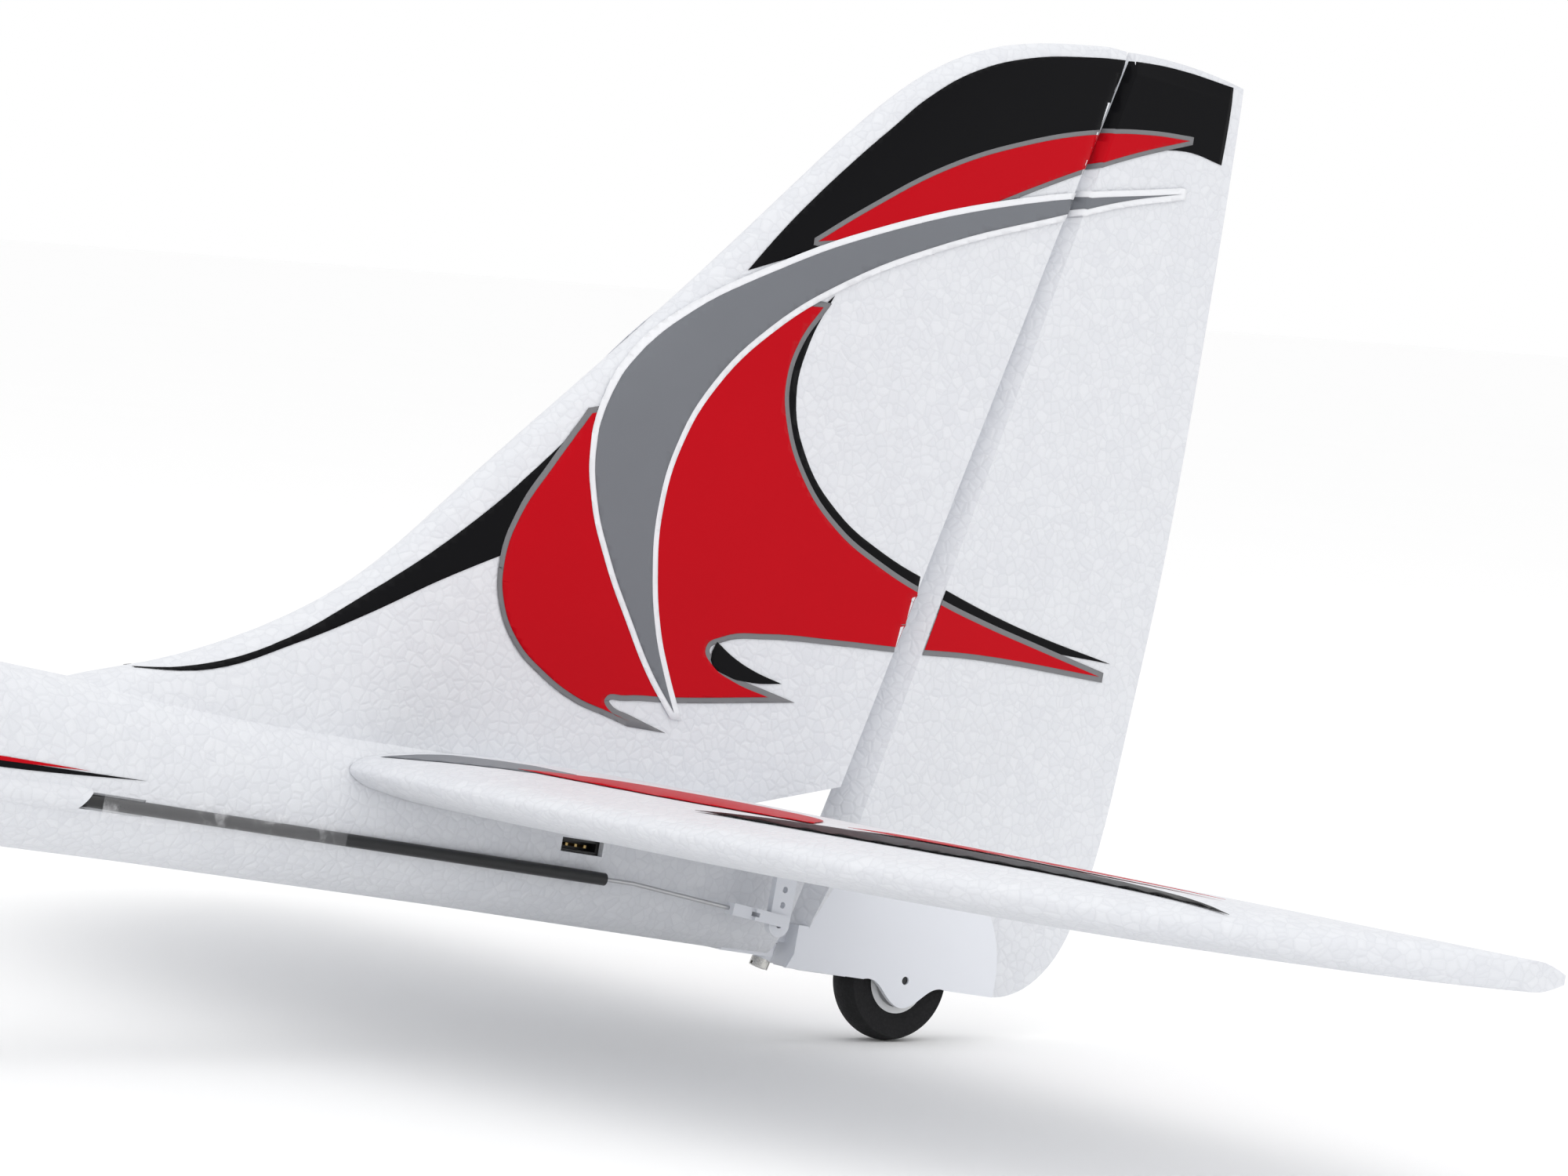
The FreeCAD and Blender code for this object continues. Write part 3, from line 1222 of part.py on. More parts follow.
def make_socket():
    """Recessed three-pin lead socket in the port side, under the tailplane's root."""
    x0, z0 = socket_front
    shell = box(x0, x0 + socket_size[0], -11.4, -6.0, z0, z0 + socket_size[1])
    shell = shell.cut(box(x0 + 0.9, x0 + 10.9, -12.0, -8.0, z0 + 0.6, z0 + 2.6))
    pins = [box(x0 + 5.9 + k * 2.54 - 0.32, x0 + 5.9 + k * 2.54 + 0.32, -10.6, -7.0, z0 + 1.28, z0 + 1.92)
            for k in (-1, 0, 1)]
    add("tail_socket", shell.cut(pins))
    add("socket_pins", *pins)


# ---- parked attitude ----
def parked_pitch():
    """Nose-up angle that puts both wheel sizes on one floor."""
    dx, dz = tail_wheel_x - main_wheel_x, tail_wheel_z - main_wheel_z
    reach = math.hypot(dx, dz)
    return math.atan2(dz, dx) + math.asin((main_wheel_radius - tail_wheel_radius) / reach)


def parked_placement(shapes):
    pitch = parked_pitch()
    turn = Placement(Vector(0, 0, 0), Rotation(Vector(0, 1, 0), math.degrees(pitch)))
    floor = turn.multVec(Vector(tail_wheel_x, 0, tail_wheel_z)).z - tail_wheel_radius
    lows, highs = [], []
    for shape in shapes:
        bounds = placed(shape, turn).optimalBoundingBox(True, False)
        lows.append(bounds.XMin)
        highs.append(bounds.XMax)
    middle = (min(lows) + max(highs)) / 2
    return Placement(Vector(-middle, 0, -floor), Rotation(Vector(0, 1, 0), math.degrees(pitch)))


def main():
    make_fuselage()
    make_hatch()
    make_wing()
    make_tailplane()
    make_elevator_run()
    make_tape()
    make_rudder()
    make_tail_bracket()
    make_stern_hinge()
    make_rudder_run()
    make_tail_wheel()
    make_main_gear()
    make_spinner()
    make_blades()
    make_motor()
    make_equipment()
    make_socket()
    os.makedirs("parts", exist_ok=True)
    placement = parked_placement(PARTS.values())
    print("parked pitch %.3f deg, shift %s" % (math.degrees(parked_pitch()), placement.Base))
    for name, shape in PARTS.items():
        placed(shape, placement).exportStep("parts/%s.step" % name)
        print(name, len(shape.Solids), round(shape.Volume), shape.isValid())


main()
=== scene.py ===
import math

import bmesh
import bpy
from mathutils import Matrix, Vector
from mathutils.bvhtree import BVHTree


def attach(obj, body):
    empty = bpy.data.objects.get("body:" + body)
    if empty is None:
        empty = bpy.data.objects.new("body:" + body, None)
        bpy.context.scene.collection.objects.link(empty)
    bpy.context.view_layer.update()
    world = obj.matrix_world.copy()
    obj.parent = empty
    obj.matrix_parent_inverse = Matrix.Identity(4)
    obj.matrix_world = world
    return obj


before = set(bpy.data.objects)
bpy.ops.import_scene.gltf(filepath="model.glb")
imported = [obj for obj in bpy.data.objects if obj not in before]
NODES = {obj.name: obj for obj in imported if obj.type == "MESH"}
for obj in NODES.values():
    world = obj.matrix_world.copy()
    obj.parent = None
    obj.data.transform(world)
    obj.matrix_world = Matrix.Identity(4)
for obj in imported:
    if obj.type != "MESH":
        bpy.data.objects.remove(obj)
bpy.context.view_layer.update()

# Foam motor sailplane parked on its wheels. Trim outlines are drawn in the design's level
# frame, in millimetres: X aft from the spinner's tip, Y starboard, Z up from the
# tailplane's datum. PITCH and SHIFT put them on the parked aircraft, in metres.
PITCH = math.radians(7.0395)
SHIFT = Vector((-0.5363323, 0.0, 0.1665625))
LEVEL_TO_PARKED = Matrix.Translation(SHIFT) @ Matrix.Rotation(PITCH, 4, "Y") @ Matrix.Scale(0.001, 4)


def parked(x, y, z):
    """A point of the level design frame on the parked aircraft."""
    return LEVEL_TO_PARKED @ Vector((x, y, z))


# ---------------------------------------------------------------- camera, floor, light
WHEEL_CONTACT = Vector((0.44948, 0.0, 0.0))
CAMERA_OFFSET = Vector((-0.854747, -1.094027, 0.180314))
CAMERA_PAN = math.radians(36.6686)
CAMERA_TILT = math.radians(3.08636)
CAMERA_ROLL = math.radians(4.5)
LENS = 7476.12 * 36.0 / 2000.0


def set_camera():
    forward = Vector((math.sin(CAMERA_PAN) * math.cos(CAMERA_TILT),
                      math.cos(CAMERA_PAN) * math.cos(CAMERA_TILT), -math.sin(CAMERA_TILT)))
    level = Vector((math.cos(CAMERA_PAN), -math.sin(CAMERA_PAN), 0.0))
    up = level.cross(forward)
    side = math.cos(CAMERA_ROLL) * level + math.sin(CAMERA_ROLL) * up
    top = math.cos(CAMERA_ROLL) * up - math.sin(CAMERA_ROLL) * level
    data = bpy.data.cameras.new("camera")
    data.lens = LENS
    data.sensor_width = 36.0
    data.clip_start = 0.02
    data.clip_end = 60.0
    camera = bpy.data.objects.new("camera", data)
    turn = Matrix((side, top, -forward)).transposed().to_4x4()
    camera.matrix_world = Matrix.Translation(WHEEL_CONTACT + CAMERA_OFFSET) @ turn
    bpy.context.collection.objects.link(camera)
    bpy.context.scene.camera = camera


def area_light(name, place, target, size, power):
    data = bpy.data.lights.new(name, "AREA")
    data.shape = "RECTANGLE"
    data.size, data.size_y = size
    data.energy = power
    lamp = bpy.data.objects.new(name, data)
    aim = (Vector(target) - Vector(place)).to_track_quat("-Z", "Y")
    lamp.matrix_world = Matrix.Translation(place) @ aim.to_matrix().to_4x4()
    bpy.context.collection.objects.link(lamp)


BEADS_PER_METRE = 400.0


# ---------------------------------------------------------------- shader maths
class Sock:
    """A socket of a material's nodes; Python's operators on it add Math nodes."""

    def __init__(self, shader, socket):
        self.shader = shader
        self.socket = socket

    def maths(self, operation, *values):
        return self.shader.node("ShaderNodeMath", {"operation": operation}, dict(enumerate(values)))[0]

    def __add__(self, other):
        return self.maths("ADD", self, other)

    def __radd__(self, other):
        return self.maths("ADD", other, self)

    def __sub__(self, other):
        return self.maths("SUBTRACT", self, other)

    def __rsub__(self, other):
        return self.maths("SUBTRACT", other, self)

    def __mul__(self, other):
        return self.maths("MULTIPLY", self, other)

    def __rmul__(self, other):
        return self.maths("MULTIPLY", other, self)

    def step(self, low, high):
        """0 below low, 1 above high, smooth between."""
        return self.shader.node("ShaderNodeMapRange", {"interpolation_type": "SMOOTHSTEP"},
                                {0: self, 1: low, 2: high})[0]


class Shader:
    """One material and its nodes."""

    def __init__(self, name, **constants):
        self.material = bpy.data.materials.new(name)
        self.material.use_nodes = True
        self.tree = self.material.node_tree
        self.surface = self.tree.nodes["Principled BSDF"]
        for key, value in constants.items():
            self.surface.inputs[key.replace("_", " ")].default_value = value

    def node(self, kind, settings=None, inputs=None):
        """A node of that type; its settings are set first, then its sockets."""
        made = self.tree.nodes.new(kind)
        for key, value in (settings or {}).items():
            setattr(made, key, value)
        for key, value in (inputs or {}).items():
            if isinstance(value, Sock):
                self.tree.links.new(value.socket, made.inputs[key])
            else:
                made.inputs[key].default_value = value
        return [Sock(self, output) for output in made.outputs]

    def feed(self, key, value):
        self.tree.links.new(value.socket, self.surface.inputs[key])

    def place(self):
        return self.node("ShaderNodeTexCoord")[3]

    def noise(self, scale, detail=3.0, roughness=0.55, place=None):
        return self.node("ShaderNodeTexNoise", None, {"Vector": place or self.place(), "Scale": scale,
                                                      "Detail": detail, "Roughness": roughness})[0]

    def cells(self, scale, feature="F1", place=None, output=0):
        return self.node("ShaderNodeTexVoronoi", {"feature": feature},
                         {"Vector": place or self.place(), "Scale": scale})[output]

    def mixed(self, factor, a, b):
        made = self.tree.nodes.new("ShaderNodeMix")
        made.data_type = "RGBA"
        for key, value in ((0, factor), (6, a), (7, b)):
            if isinstance(value, Sock):
                self.tree.links.new(value.socket, made.inputs[key])
            elif key == 0:
                made.inputs[key].default_value = value
            else:
                made.inputs[key].default_value = (*value, 1.0)
        return Sock(self, made.outputs[2])

    def bump(self, height, depth, strength=1.0):
        self.feed("Normal", self.node("ShaderNodeBump", None, {"Strength": strength, "Distance": depth,
                                                              "Height": height})[0])


def bead_foam():
    """Moulded bead foam: packed beads a few millimetres across, with fine seams whose grooves are painted
    darker as shade.
    """
    s = Shader("bead_foam", IOR=1.42)
    place = s.place()
    warp = s.node("ShaderNodeVectorMath", {"operation": "SCALE"},
                  {0: s.node("ShaderNodeTexNoise", None, {"Vector": place, "Scale": 160.0})[1],
                   3: 0.0016})[0]
    bent = s.node("ShaderNodeVectorMath", {"operation": "ADD"}, {0: place, 1: warp})[0]
    seam = s.cells(BEADS_PER_METRE, "DISTANCE_TO_EDGE", bent)
    tone = s.cells(BEADS_PER_METRE, "F1", bent, 1)
    cell_tone = s.node("ShaderNodeSeparateColor", None, {0: tone})[0]
    shaded_groove = 1.0 - seam.step(0.0, 0.09)
    drift = s.noise(14.0, 2.0)
    light = s.mixed(cell_tone, (0.715, 0.73, 0.77), (0.765, 0.78, 0.815))
    light = s.mixed(drift * 0.5, light, (0.77, 0.78, 0.805))
    # The base colour goes to a darker grey along the bead seams: painted shade in the grooves between the
    # beads.
    s.feed("Base Color", s.mixed(shaded_groove * 0.22, light, (0.60, 0.61, 0.65)))
    s.feed("Roughness", 0.4 + 0.16 * drift + 0.12 * shaded_groove)
    height = seam.step(0.0, 0.22) * 0.8 + cell_tone * 0.25 + s.noise(1500.0, 2.0) * 0.1
    s.bump(height, 0.00016, 0.7)
    return s.material


def vinyl(name, colour, roughness=0.28):
    """Printed film over foam: smooth, slightly glossy, with the beads faintly showing."""
    s = Shader(name, IOR=1.46, Specular_IOR_Level=0.07, Coat_Weight=0.03, Coat_Roughness=0.15)
    beads = s.cells(BEADS_PER_METRE, "SMOOTH_F1")
    drift = s.noise(45.0, 3.0)
    darker = tuple(c * 0.93 for c in colour)
    s.feed("Base Color", s.mixed(drift, darker, colour))
    s.feed("Roughness", roughness + 0.10 * drift + 0.05 * s.noise(900.0, 2.0))
    s.bump(beads + 0.15 * s.noise(2600.0, 1.0), 0.00003, 0.35)
    return s.material


def moulding(name, colour, roughness=0.38, grain=2200.0, depth=0.00002, coat=0.0, variation=0.06):
    """Injection-moulded plastic with a fine texture and faint flow marks."""
    s = Shader(name, IOR=1.5, Coat_Weight=coat, Coat_Roughness=0.12)
    flow = s.noise(60.0, 4.0)
    low = tuple(c * (1.0 - variation) for c in colour)
    s.feed("Base Color", s.mixed(flow, low, colour))
    fine = s.noise(grain, 3.0)
    s.feed("Roughness", roughness + 0.12 * fine - 0.05 * flow)
    s.bump(fine, depth, 0.4)
    return s.material


def tyre_foam():
    """Closed-cell black foam rubber, matt, with tiny pores."""
    s = Shader("tyre_foam", IOR=1.4)
    pores = s.cells(1400.0)
    worn = s.noise(120.0, 4.0)
    s.feed("Base Color", s.mixed(worn, (0.005, 0.005, 0.006), (0.014, 0.014, 0.015)))
    s.feed("Roughness", 0.78 + 0.15 * pores)
    s.bump(pores + worn, 0.00012, 0.6)
    return s.material


def drawn_metal(name, colour, roughness, stretch=(1.0, 60.0, 60.0)):
    """Drawn or turned metal with fine lines along it."""
    s = Shader(name, Metallic=1.0)
    stretched = s.node("ShaderNodeMapping", None, {0: s.place(), 3: stretch})[0]
    lines = s.noise(70.0, 4.0, 0.6, stretched)
    low = tuple(c * 0.82 for c in colour)
    s.feed("Base Color", s.mixed(lines, low, colour))
    s.feed("Roughness", roughness + 0.16 * lines)
    s.bump(lines, 0.00001, 0.4)
    return s.material


def carbon_weave():
    """Carbon tube: crossed tows under clear resin."""
    s = Shader("carbon_weave", Coat_Weight=0.6, Coat_Roughness=0.12, IOR=1.5)
    place = s.place()
    along = s.node("ShaderNodeTexWave", {"bands_direction": "DIAGONAL"}, {"Vector": place, "Scale": 260.0,
                                                                     "Distortion": 0.4})[1]
    s.feed("Base Color", s.mixed(along, (0.012, 0.012, 0.013), (0.06, 0.06, 0.065)))
    s.feed("Roughness", 0.3 + 0.2 * along)
    s.bump(along, 0.00002, 0.4)
    return s.material


def clear_tape():
    """Thin clear tape, glossy, with faint wrinkles."""
    s = Shader("clear_tape", Roughness=0.12, IOR=1.46)
    wrinkle = s.noise(220.0, 4.0)
    s.feed("Base Color", s.mixed(wrinkle, (0.86, 0.87, 0.9), (0.96, 0.96, 0.98)))
    s.feed("Alpha", 0.05 + 0.16 * wrinkle.step(0.55, 0.75))
    s.bump(wrinkle, 0.00006, 0.5)
    return s.material


RED = (0.53, 0.001, 0.008)
BLACK = (0.004, 0.004, 0.005)
GREY = (0.19, 0.20, 0.22)
EDGE_GREY = (0.21, 0.21, 0.22)
EDGE_WHITE = (0.86, 0.87, 0.90)
FOAM_NODES = ("fuselage_left", "fuselage_right", "wing_left", "wing_right", "aileron_left", "aileron_right",
              "stab_left", "stab_right", "elevator_left", "elevator_right", "rudder")


def dress_nodes():
    """Every CAD node gets its finish."""
    foam = bead_foam()
    nylon = moulding("bluish_nylon", (0.80, 0.82, 0.87), 0.3, 1800.0, 0.00002, 0.15, 0.03)
    grey = moulding("grey_plastic", (0.42, 0.43, 0.45), 0.35)
    dark = moulding("dark_plastic", (0.014, 0.014, 0.015), 0.35)
    canopy = moulding("canopy_gloss", (0.005, 0.005, 0.006), 0.16, 300.0, 0.00002, 0.35)
    hub = moulding("hub_plastic", (0.72, 0.73, 0.74), 0.32)
    wire = drawn_metal("spring_wire", (0.62, 0.62, 0.63), 0.22)
    screw = drawn_metal("plated_screw", (0.66, 0.65, 0.62), 0.2, (30.0, 30.0, 30.0))
    gold = drawn_metal("gold_pins", (0.5, 0.36, 0.15), 0.3)
    anodised = drawn_metal("motor_metal", (0.33, 0.34, 0.36), 0.24, (8.0, 60.0, 60.0))
    carbon = carbon_weave()
    tape = clear_tape()
    wrap = moulding("pack_wrap", (0.02, 0.10, 0.32), 0.3, 400.0, 0.00004, 0.5)
    tyre = tyre_foam()
    magnet = drawn_metal("plated_magnet", (0.7, 0.7, 0.72), 0.16)
    blade = moulding("blade_nylon", (0.02, 0.02, 0.022), 0.3, 900.0, 0.00003, 0.3)
    finish = {name: foam for name in FOAM_NODES}
    finish.update({
        "canopy_hatch": canopy, "hatch_magnets": magnet, "wing_spar_tube": carbon, "wing_pins": carbon,
        "stab_spar_tube": carbon, "elevator_joiner": wire, "elevator_horn": nylon, "elevator_pushrod": wire,
        "elevator_clevis": nylon, "elevator_sleeve": dark, "sleeve_tape": tape, "rudder_pushrod": wire,
        "rudder_sleeve": dark, "tail_wheel_bracket": nylon, "stern_hinge": nylon, "hinge_screw": screw,
        # The tail wheel's axle takes the dark plastic as painted shade: its end stands in for the shaded
        # hole in the hub.
        "tail_wheel_tyre": tyre, "tail_wheel_hub": hub, "tail_wheel_axle": dark, "main_gear_wire": wire,
        "main_tyre_left": tyre, "main_tyre_right": tyre, "main_hub_left": hub, "main_hub_right": hub,
        "wheel_collars": screw, "spinner_cone": grey, "prop_yoke": anodised, "blade_pins": screw,
        "blade_left": blade, "blade_right": blade, "motor_case": anodised, "motor_shaft": wire,
        "battery": wrap, "speed_controller": dark, "receiver": dark, "tail_socket": dark,
        "socket_pins": gold,
    })
    for name, node in NODES.items():
        made = finish.get(name)
        if made is None:
            made = wire if "pushrod" in name else nylon if ("arm" in name or "horn" in name) else dark
        for holder in node.material_slots:
            holder.material = made
        if not node.material_slots:
            node.data.materials.append(made)


# ---------------------------------------------------------------- printed trim
# Outlines as (along, up) in the level frame; a third value marks a sharp corner.
FIN_BLACK_TOP = [
    (915.8, 126.4, 1), (923.4, 136.6), (935.2, 150.7), (950.4, 167.0), (960.2, 176.6),
    (972.4, 185.0), (987.3, 191.0), (1003.7, 194.7), (1016.5, 196.6), (1033.1, 198.0),
    (1052.9, 197.4, 1), (1053.3, 187.4), (1053.2, 178.2, 1), (1040.9, 179.1), (1022.8, 175.1),
    (990.1, 166.1), (964.0, 152.5), (943.1, 139.5), (930.5, 133.4),
]
FIN_RED_TOP = [
    (933.3, 136.6, 1), (946.4, 146.5), (967.2, 160.2), (989.2, 170.3), (1012.3, 177.7),
    (1029.2, 180.8), (1041.4, 181.9, 1), (1025.2, 175.8), (1011.5, 169.8), (995.8, 162.1),
    (980.5, 154.0, 1), (958.4, 145.4), (943.2, 139.2),
]
FIN_CRESCENT = [
    (915.0, 23.5, 1), (906.5, 32.1), (898.5, 42.5), (890.0, 54.7), (883.4, 68.1), (881.4, 80.3),
    (883.5, 90.3), (890.0, 101.5), (903.0, 114.5), (921.0, 126.6), (948.0, 140.6), (992.1, 156.8),
    (1041.6, 168.8, 1), (1023.0, 163.4), (1003.3, 156.0), (970.8, 143.4), (942.0, 128.6),
    (923.0, 114.4), (909.8, 99.2), (902.5, 83.7), (900.3, 68.8), (901.8, 54.6), (905.8, 40.8),
    (910.5, 31.2),
]
FIN_RED_FIELD = [
    (879.8, 86.8, 1), (871.2, 73.2), (864.4, 60.9), (861.8, 48.9), (863.7, 40.3), (868.9, 33.1),
    (876.4, 28.0), (887.1, 23.3), (897.0, 21.2), (903.0, 19.9, 1), (896.4, 21.9), (895.1, 24.0),
    (900.5, 25.5), (913.7, 26.9), (941.2, 30.8, 1), (930.5, 32.9), (923.6, 35.8), (920.8, 39.5),
    (925.1, 42.7), (937.2, 45.1), (957.7, 46.7), (978.6, 47.9), (1002.4, 49.6), (1042.4, 49.9, 1),
    (1021.2, 53.3), (1000.9, 56.7), (985.7, 59.9), (968.0, 65.1), (952.4, 72.0), (939.9, 82.3),
    (932.2, 94.8), (930.4, 103.7), (932.4, 113.2), (937.5, 121.9, 1), (919.7, 119.1),
    (898.1, 103.4), (886.4, 89.6),
]
FIN_BLACK_FIELD = [
    (940.4, 125.2, 1), (935.4, 113.2), (934.2, 100.1), (940.0, 87.2), (952.0, 76.2), (967.6, 68.9),
    (986.1, 63.7), (1012.8, 57.9), (1045.6, 53.4, 1), (1001.3, 54.5), (968.4, 62.8), (947.3, 74.3),
    (936.0, 84.4), (928.7, 98.0), (930.2, 113.0),
]
FIN_BLACK_HOOK = [
    (923.8, 41.3, 1), (929.4, 38.4), (936.2, 36.1), (944.6, 34.4, 1), (936.1, 33.4), (929.2, 33.8),
    (922.9, 36.9),
]
FIN_BLACK_LOW = [
    (773.2, 12.7, 1), (788.8, 15.6), (806.9, 22.7), (830.5, 38.4), (852.1, 56.6), (868.5, 73.6),
    (879.5, 86.5, 1), (879.9, 73.2), (864.4, 53.4, 1), (846.6, 43.6), (829.7, 33.3), (812.9, 24.2),
    (792.9, 15.5),
]
BOOM_BLACK = [
    (520.0, -9.6, 1), (640.0, -9.9), (741.0, -10.4), (776.3, -10.2, 1), (741.0, -11.9),
    (640.0, -12.4), (520.0, -12.6, 1),
]
BOOM_RED = [
    (520.0, -8.4, 1), (640.0, -8.8), (741.0, -9.6), (762.0, -9.9, 1), (741.0, -10.5),
    (640.0, -10.2), (520.0, -9.9, 1),
]
NOSE_RED = [
    (250.0, 2.0, 1), (330.0, 4.0), (430.0, 4.5), (560.0, 0.5, 1), (450.0, -3.5), (340.0, -7.0),
    (262.0, -10.0, 1),
]
NOSE_BLACK = [
    (236.0, -12.0, 1), (330.0, -10.5), (430.0, -7.0), (560.0, -3.0, 1), (450.0, -8.5),
    (340.0, -16.0), (248.0, -19.0, 1),
]
# Tailplane and wing tops as (along, out from the middle).
TAIL_GREY = [
    (834.0, 15.0, 1), (840.0, 26.0), (848.0, 40.0), (856.0, 54.0, 1), (866.0, 44.0), (866.0, 28.0),
    (852.0, 16.0, 1),
]
TAIL_RED = [
    (852.0, 42.0, 1), (855.0, 66.0), (860.0, 96.0), (870.0, 126.0, 1), (884.0, 110.0),
    (888.0, 84.0), (876.0, 56.0),
]
TAIL_BLACK = [
    (851.0, 110.0, 1), (862.0, 148.0), (880.0, 188.0), (899.0, 226.0, 1), (890.0, 180.0),
    (874.0, 140.0),
]
TAIL_ACCENT = [
    (876.0, 130.0, 1), (892.0, 168.0), (908.0, 214.0, 1), (900.0, 168.0), (888.0, 136.0),
]
WING_RED = [
    (262.0, 330.0, 1), (276.0, 400.0), (300.0, 480.0), (336.0, 575.0, 1), (318.0, 480.0),
    (300.0, 400.0), (284.0, 345.0),
]
WING_BLACK = [
    (296.0, 340.0, 1), (312.0, 400.0), (332.0, 480.0), (350.0, 560.0, 1), (344.0, 480.0),
    (328.0, 400.0), (312.0, 350.0),
]
WING_GREY = [
    (250.0, 300.0, 1), (258.0, 380.0), (276.0, 470.0), (306.0, 560.0, 1), (284.0, 470.0),
    (268.0, 380.0), (258.0, 305.0),
]
HINGE_FOOT, HINGE_HEAD = (959.5, -25.0), (1018.5, 198.0)
FILM = 0.00005
LAY_HEIGHT = 0.00014
WELD = 0.0005                    # drawing points nearer than this to a cut are on it
EDGE_ON = 0.12                   # skin turned further away than this takes no film
FROM_THE_SIDE = 120.0            # where the film starts from, in the drawing's millimetres
FROM_ABOVE = 160.0
trim = {}


def hinge_side(low, high):
    """A cut that far behind the rudder's hinge at its foot and at its head: (point, way behind it)."""
    foot = Vector((HINGE_FOOT[0] + low, HINGE_FOOT[1]))
    head = Vector((HINGE_HEAD[0] + high, HINGE_HEAD[1]))
    line = (head - foot).normalized()
    return foot, Vector((line.y, -line.x))


def along(axis, amount):
    """That much along one of the drawing's two axes."""
    return (amount, 0.0) if axis == 0 else (0.0, amount)


def cut_film(outline, margin=0.0, grid=2.0):
    """A flat piece of film inside the outline, scored into a grid so that it can bend."""
    curve = bpy.data.curves.new("outline", "CURVE")
    curve.dimensions = "2D"
    curve.fill_mode = "BOTH"
    curve.offset = margin
    edge = curve.splines.new("BEZIER")
    edge.bezier_points.add(len(outline) - 1)
    edge.use_cyclic_u = True
    edge.resolution_u = 6
    for knot, point in zip(edge.bezier_points, outline):
        knot.co = (point[0], point[1], 0.0)
        kind = "VECTOR" if len(point) == 3 else "AUTO"
        knot.handle_left_type = knot.handle_right_type = kind
    holder = bpy.data.objects.new("outline", curve)
    bpy.context.collection.objects.link(holder)
    bpy.context.view_layer.update()
    flat = bpy.data.meshes.new_from_object(holder)
    film = bmesh.new()
    film.from_mesh(flat)
    bpy.data.objects.remove(holder)
    bpy.data.meshes.remove(flat)
    for axis in (0, 1):
        ends = [point[axis] for point in outline]
        low, high = min(ends) - margin, max(ends) + margin
        for way, end in ((-1.0, low), (1.0, high)):
            trimmed(film, along(axis, end), along(axis, way))
        at = math.ceil(low / grid) * grid
        while at < high:
            scored(film, along(axis, at), along(axis, 1.0))
            at += grid
    return film


def scored(film, spot, normal, cut_away=False):
    """A straight line scored across the film, with what is past it cut away or not."""
    bmesh.ops.bisect_plane(film, geom=film.faces[:] + film.edges[:] + film.verts[:], dist=WELD,
                           plane_co=(*spot, 0.0), plane_no=(*normal, 0.0), clear_outer=cut_away)


def trimmed(film, spot, normal):
    """Only the film on the near side of a straight cut."""
    scored(film, spot, normal, cut_away=True)
    return film


def skin_of(*names):
    """The surface of several nodes together, to lay film on."""
    whole = bmesh.new()
    for name in names:
        whole.from_mesh(NODES[name].data)
    tree = BVHTree.FromBMesh(whole)
    whole.free()
    return tree


def lay(film, face, skin, lift, colour, body):
    """Presses the film on the skin from one side or above, and keeps it by colour and body."""
    start = {"port": lambda u, v: (u, -FROM_THE_SIDE, v),
             "starboard": lambda u, v: (u, FROM_THE_SIDE, v),
             "above_port": lambda u, v: (u, -v, FROM_ABOVE),
             "above_starboard": lambda u, v: (u, v, FROM_ABOVE)}[face]
    heading = {"port": (0, 1, 0), "starboard": (0, -1, 0)}.get(face, (0, 0, -1))
    heading = (LEVEL_TO_PARKED.to_3x3() @ Vector(heading)).normalized()
    if not film.faces:
        film.free()
        return
    beyond = []
    for vert in film.verts:
        origin = parked(*start(vert.co.x, vert.co.y))
        hit, normal, _, _ = skin.ray_cast(origin, heading, 1.0)
        if hit is None or abs(normal.dot(heading)) < EDGE_ON:
            beyond.append(vert)
            continue
        if normal.dot(heading) > 0.0:
            normal = -normal
        vert.co = hit + normal * (LAY_HEIGHT + lift * FILM)
    bmesh.ops.delete(film, geom=beyond, context="VERTS")
    bmesh.ops.recalc_face_normals(film, faces=film.faces[:])
    if sum(f.normal.dot(heading) * f.calc_area() for f in film.faces) > 0.0:
        bmesh.ops.reverse_faces(film, faces=film.faces[:])
    sheet = bpy.data.meshes.new("film")
    film.to_mesh(sheet)
    film.free()
    trim.setdefault((colour, body), bmesh.new()).from_mesh(sheet)
    bpy.data.meshes.remove(sheet)


def fin_trim():
    """Each colour on both sides; behind the hinge it is on the rudder, and the top bands cover its bevel."""
    layers = [(FIN_BLACK_TOP, 0.0, 0, "black", True), (FIN_BLACK_LOW, 0.0, 0, "black", False),
              (FIN_BLACK_FIELD, 0.0, 0, "black", False), (FIN_RED_FIELD, 1.3, 2, "dark_grey", False),
              (FIN_RED_TOP, 1.1, 2, "dark_grey", True), (FIN_BLACK_HOOK, 0.0, 3, "black", False),
              (FIN_RED_FIELD, 0.0, 4, "red", False), (FIN_RED_TOP, 0.0, 4, "red", True),
              (FIN_CRESCENT, 1.5, 6, "white", True), (FIN_CRESCENT, 0.0, 8, "grey", True)]
    skins = {name: skin_of(name) for name in ("fuselage_left", "fuselage_right", "rudder")}
    ridges = [hinge_side(7.06 + off, 2.92 + off) for off in (-0.3, 0.0, 0.3)]
    for outline, margin, lift, colour, over_bevel in layers:
        whole = cut_film(outline, margin)
        front = trimmed(whole.copy(), *hinge_side(-2.4, -1.2))
        start = hinge_side(1.4, 1.2) if over_bevel else ridges[1]
        rear = trimmed(whole, start[0], -start[1])
        for spot, normal in ridges:
            scored(rear, spot, normal)
        for face, fuselage in (("port", "fuselage_left"), ("starboard", "fuselage_right")):
            lay(front.copy(), face, skins[fuselage], lift, colour, "airframe")
            lay(rear.copy(), face, skins["rudder"], lift, colour, "rudder")
    for outline, colour, lift in ((BOOM_BLACK, "black", 0), (BOOM_RED, "red", 1), (NOSE_BLACK, "black", 0),
                                  (NOSE_RED, "red", 1)):
        for face, fuselage in (("port", "fuselage_left"), ("starboard", "fuselage_right")):
            lay(cut_film(outline, 0.0, 5.0), face, skins[fuselage], lift, colour, "airframe")


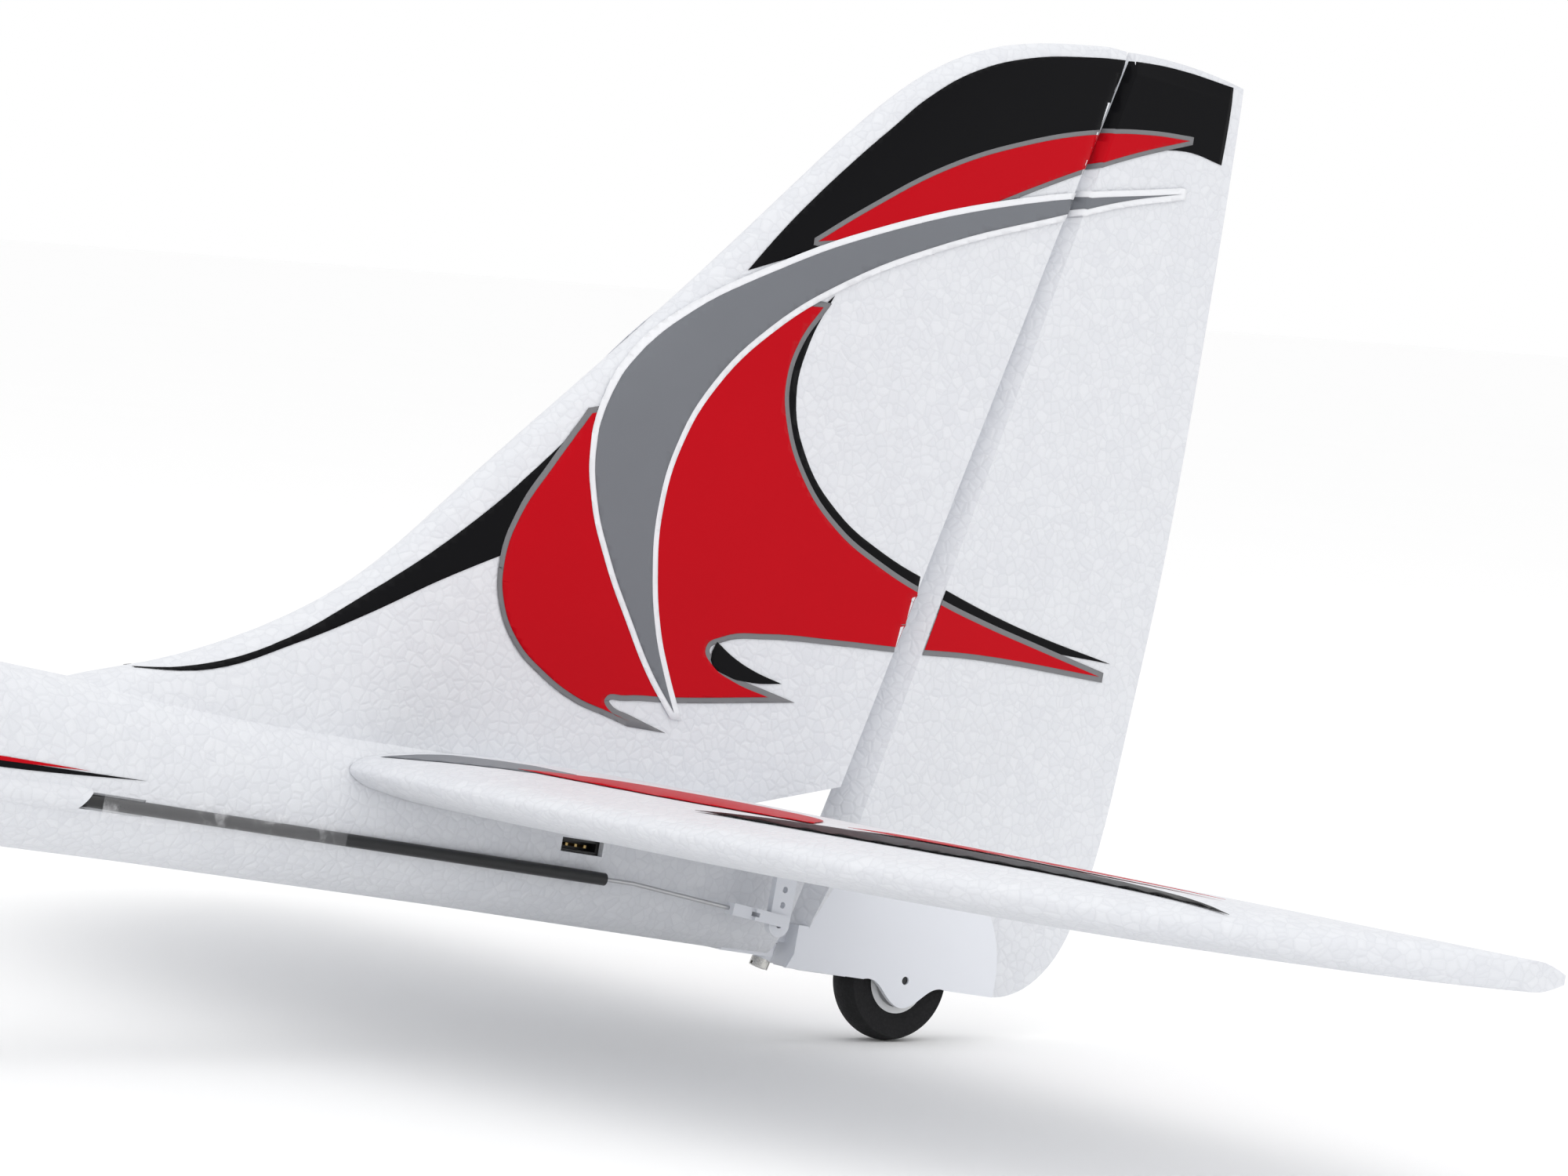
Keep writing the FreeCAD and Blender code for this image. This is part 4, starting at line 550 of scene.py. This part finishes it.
def plan_trim():
    """Tops of the tailplane and the wings."""
    for side, face in (("left", "above_port"), ("right", "above_starboard")):
        tail = skin_of("stab_" + side)
        for outline, colour, lift in ((TAIL_GREY, "grey", 0), (TAIL_RED, "red", 2),
                                      (TAIL_BLACK, "black", 4), (TAIL_ACCENT, "red", 5)):
            lay(cut_film(outline, 0.0, 3.0), face, tail, lift, colour, "airframe")
        wing = skin_of("wing_" + side)
        for outline, colour, lift in ((WING_GREY, "grey", 0), (WING_RED, "red", 1),
                                      (WING_BLACK, "black", 0)):
            lay(cut_film(outline, 0.0, 6.0), face, wing, lift, colour, "airframe")


def finish_trim():
    films = {"red": vinyl("red_film", RED), "black": vinyl("black_film", BLACK),
             "grey": vinyl("grey_film", GREY),
             "dark_grey": vinyl("dark_grey_film", EDGE_GREY), "white": vinyl("white_film", EDGE_WHITE)}
    for (colour, body), shape in trim.items():
        mesh = bpy.data.meshes.new("trim_%s_%s" % (colour, body))
        shape.to_mesh(mesh)
        shape.free()
        piece = bpy.data.objects.new(mesh.name, mesh)
        bpy.context.collection.objects.link(piece)
        mesh.materials.append(films[colour])
        mesh.shade_smooth()
        wall = piece.modifiers.new("film", "SOLIDIFY")
        wall.thickness = FILM
        wall.offset = 1.0
        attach(piece, body)


def studio():
    """Plain pale floor and soft light from above."""
    floor = Shader("pale_floor", Roughness=0.9)
    floor.feed("Base Color", floor.mixed(floor.noise(3.0), (0.975, 0.975, 0.975), (0.985, 0.985, 0.985)))
    ground = bmesh.new()
    bmesh.ops.create_grid(ground, x_segments=2, y_segments=2, size=30.0)
    mesh = bpy.data.meshes.new("studio_floor")
    ground.to_mesh(mesh)
    ground.free()
    mesh.materials.append(floor.material)
    plate = bpy.data.objects.new("studio_floor", mesh)
    bpy.context.collection.objects.link(plate)
    world = bpy.data.worlds.new("studio")
    world.use_nodes = True
    world.node_tree.nodes["Background"].inputs["Color"].default_value = (1.0, 1.0, 1.0, 1.0)
    world.node_tree.nodes["Background"].inputs["Strength"].default_value = 1.0
    bpy.context.scene.world = world
    bpy.context.scene.view_settings.view_transform = "Standard"
    area_light("overhead", (0.1, -0.3, 1.9), (0.35, 0.0, 0.1), (2.2, 2.2), 7.0)
    area_light("port_fill", (-0.6, -2.0, 0.9), (0.4, 0.0, 0.1), (1.2, 1.0), 2.0)


set_camera()
studio()
dress_nodes()
fin_trim()
plan_trim()
finish_trim()
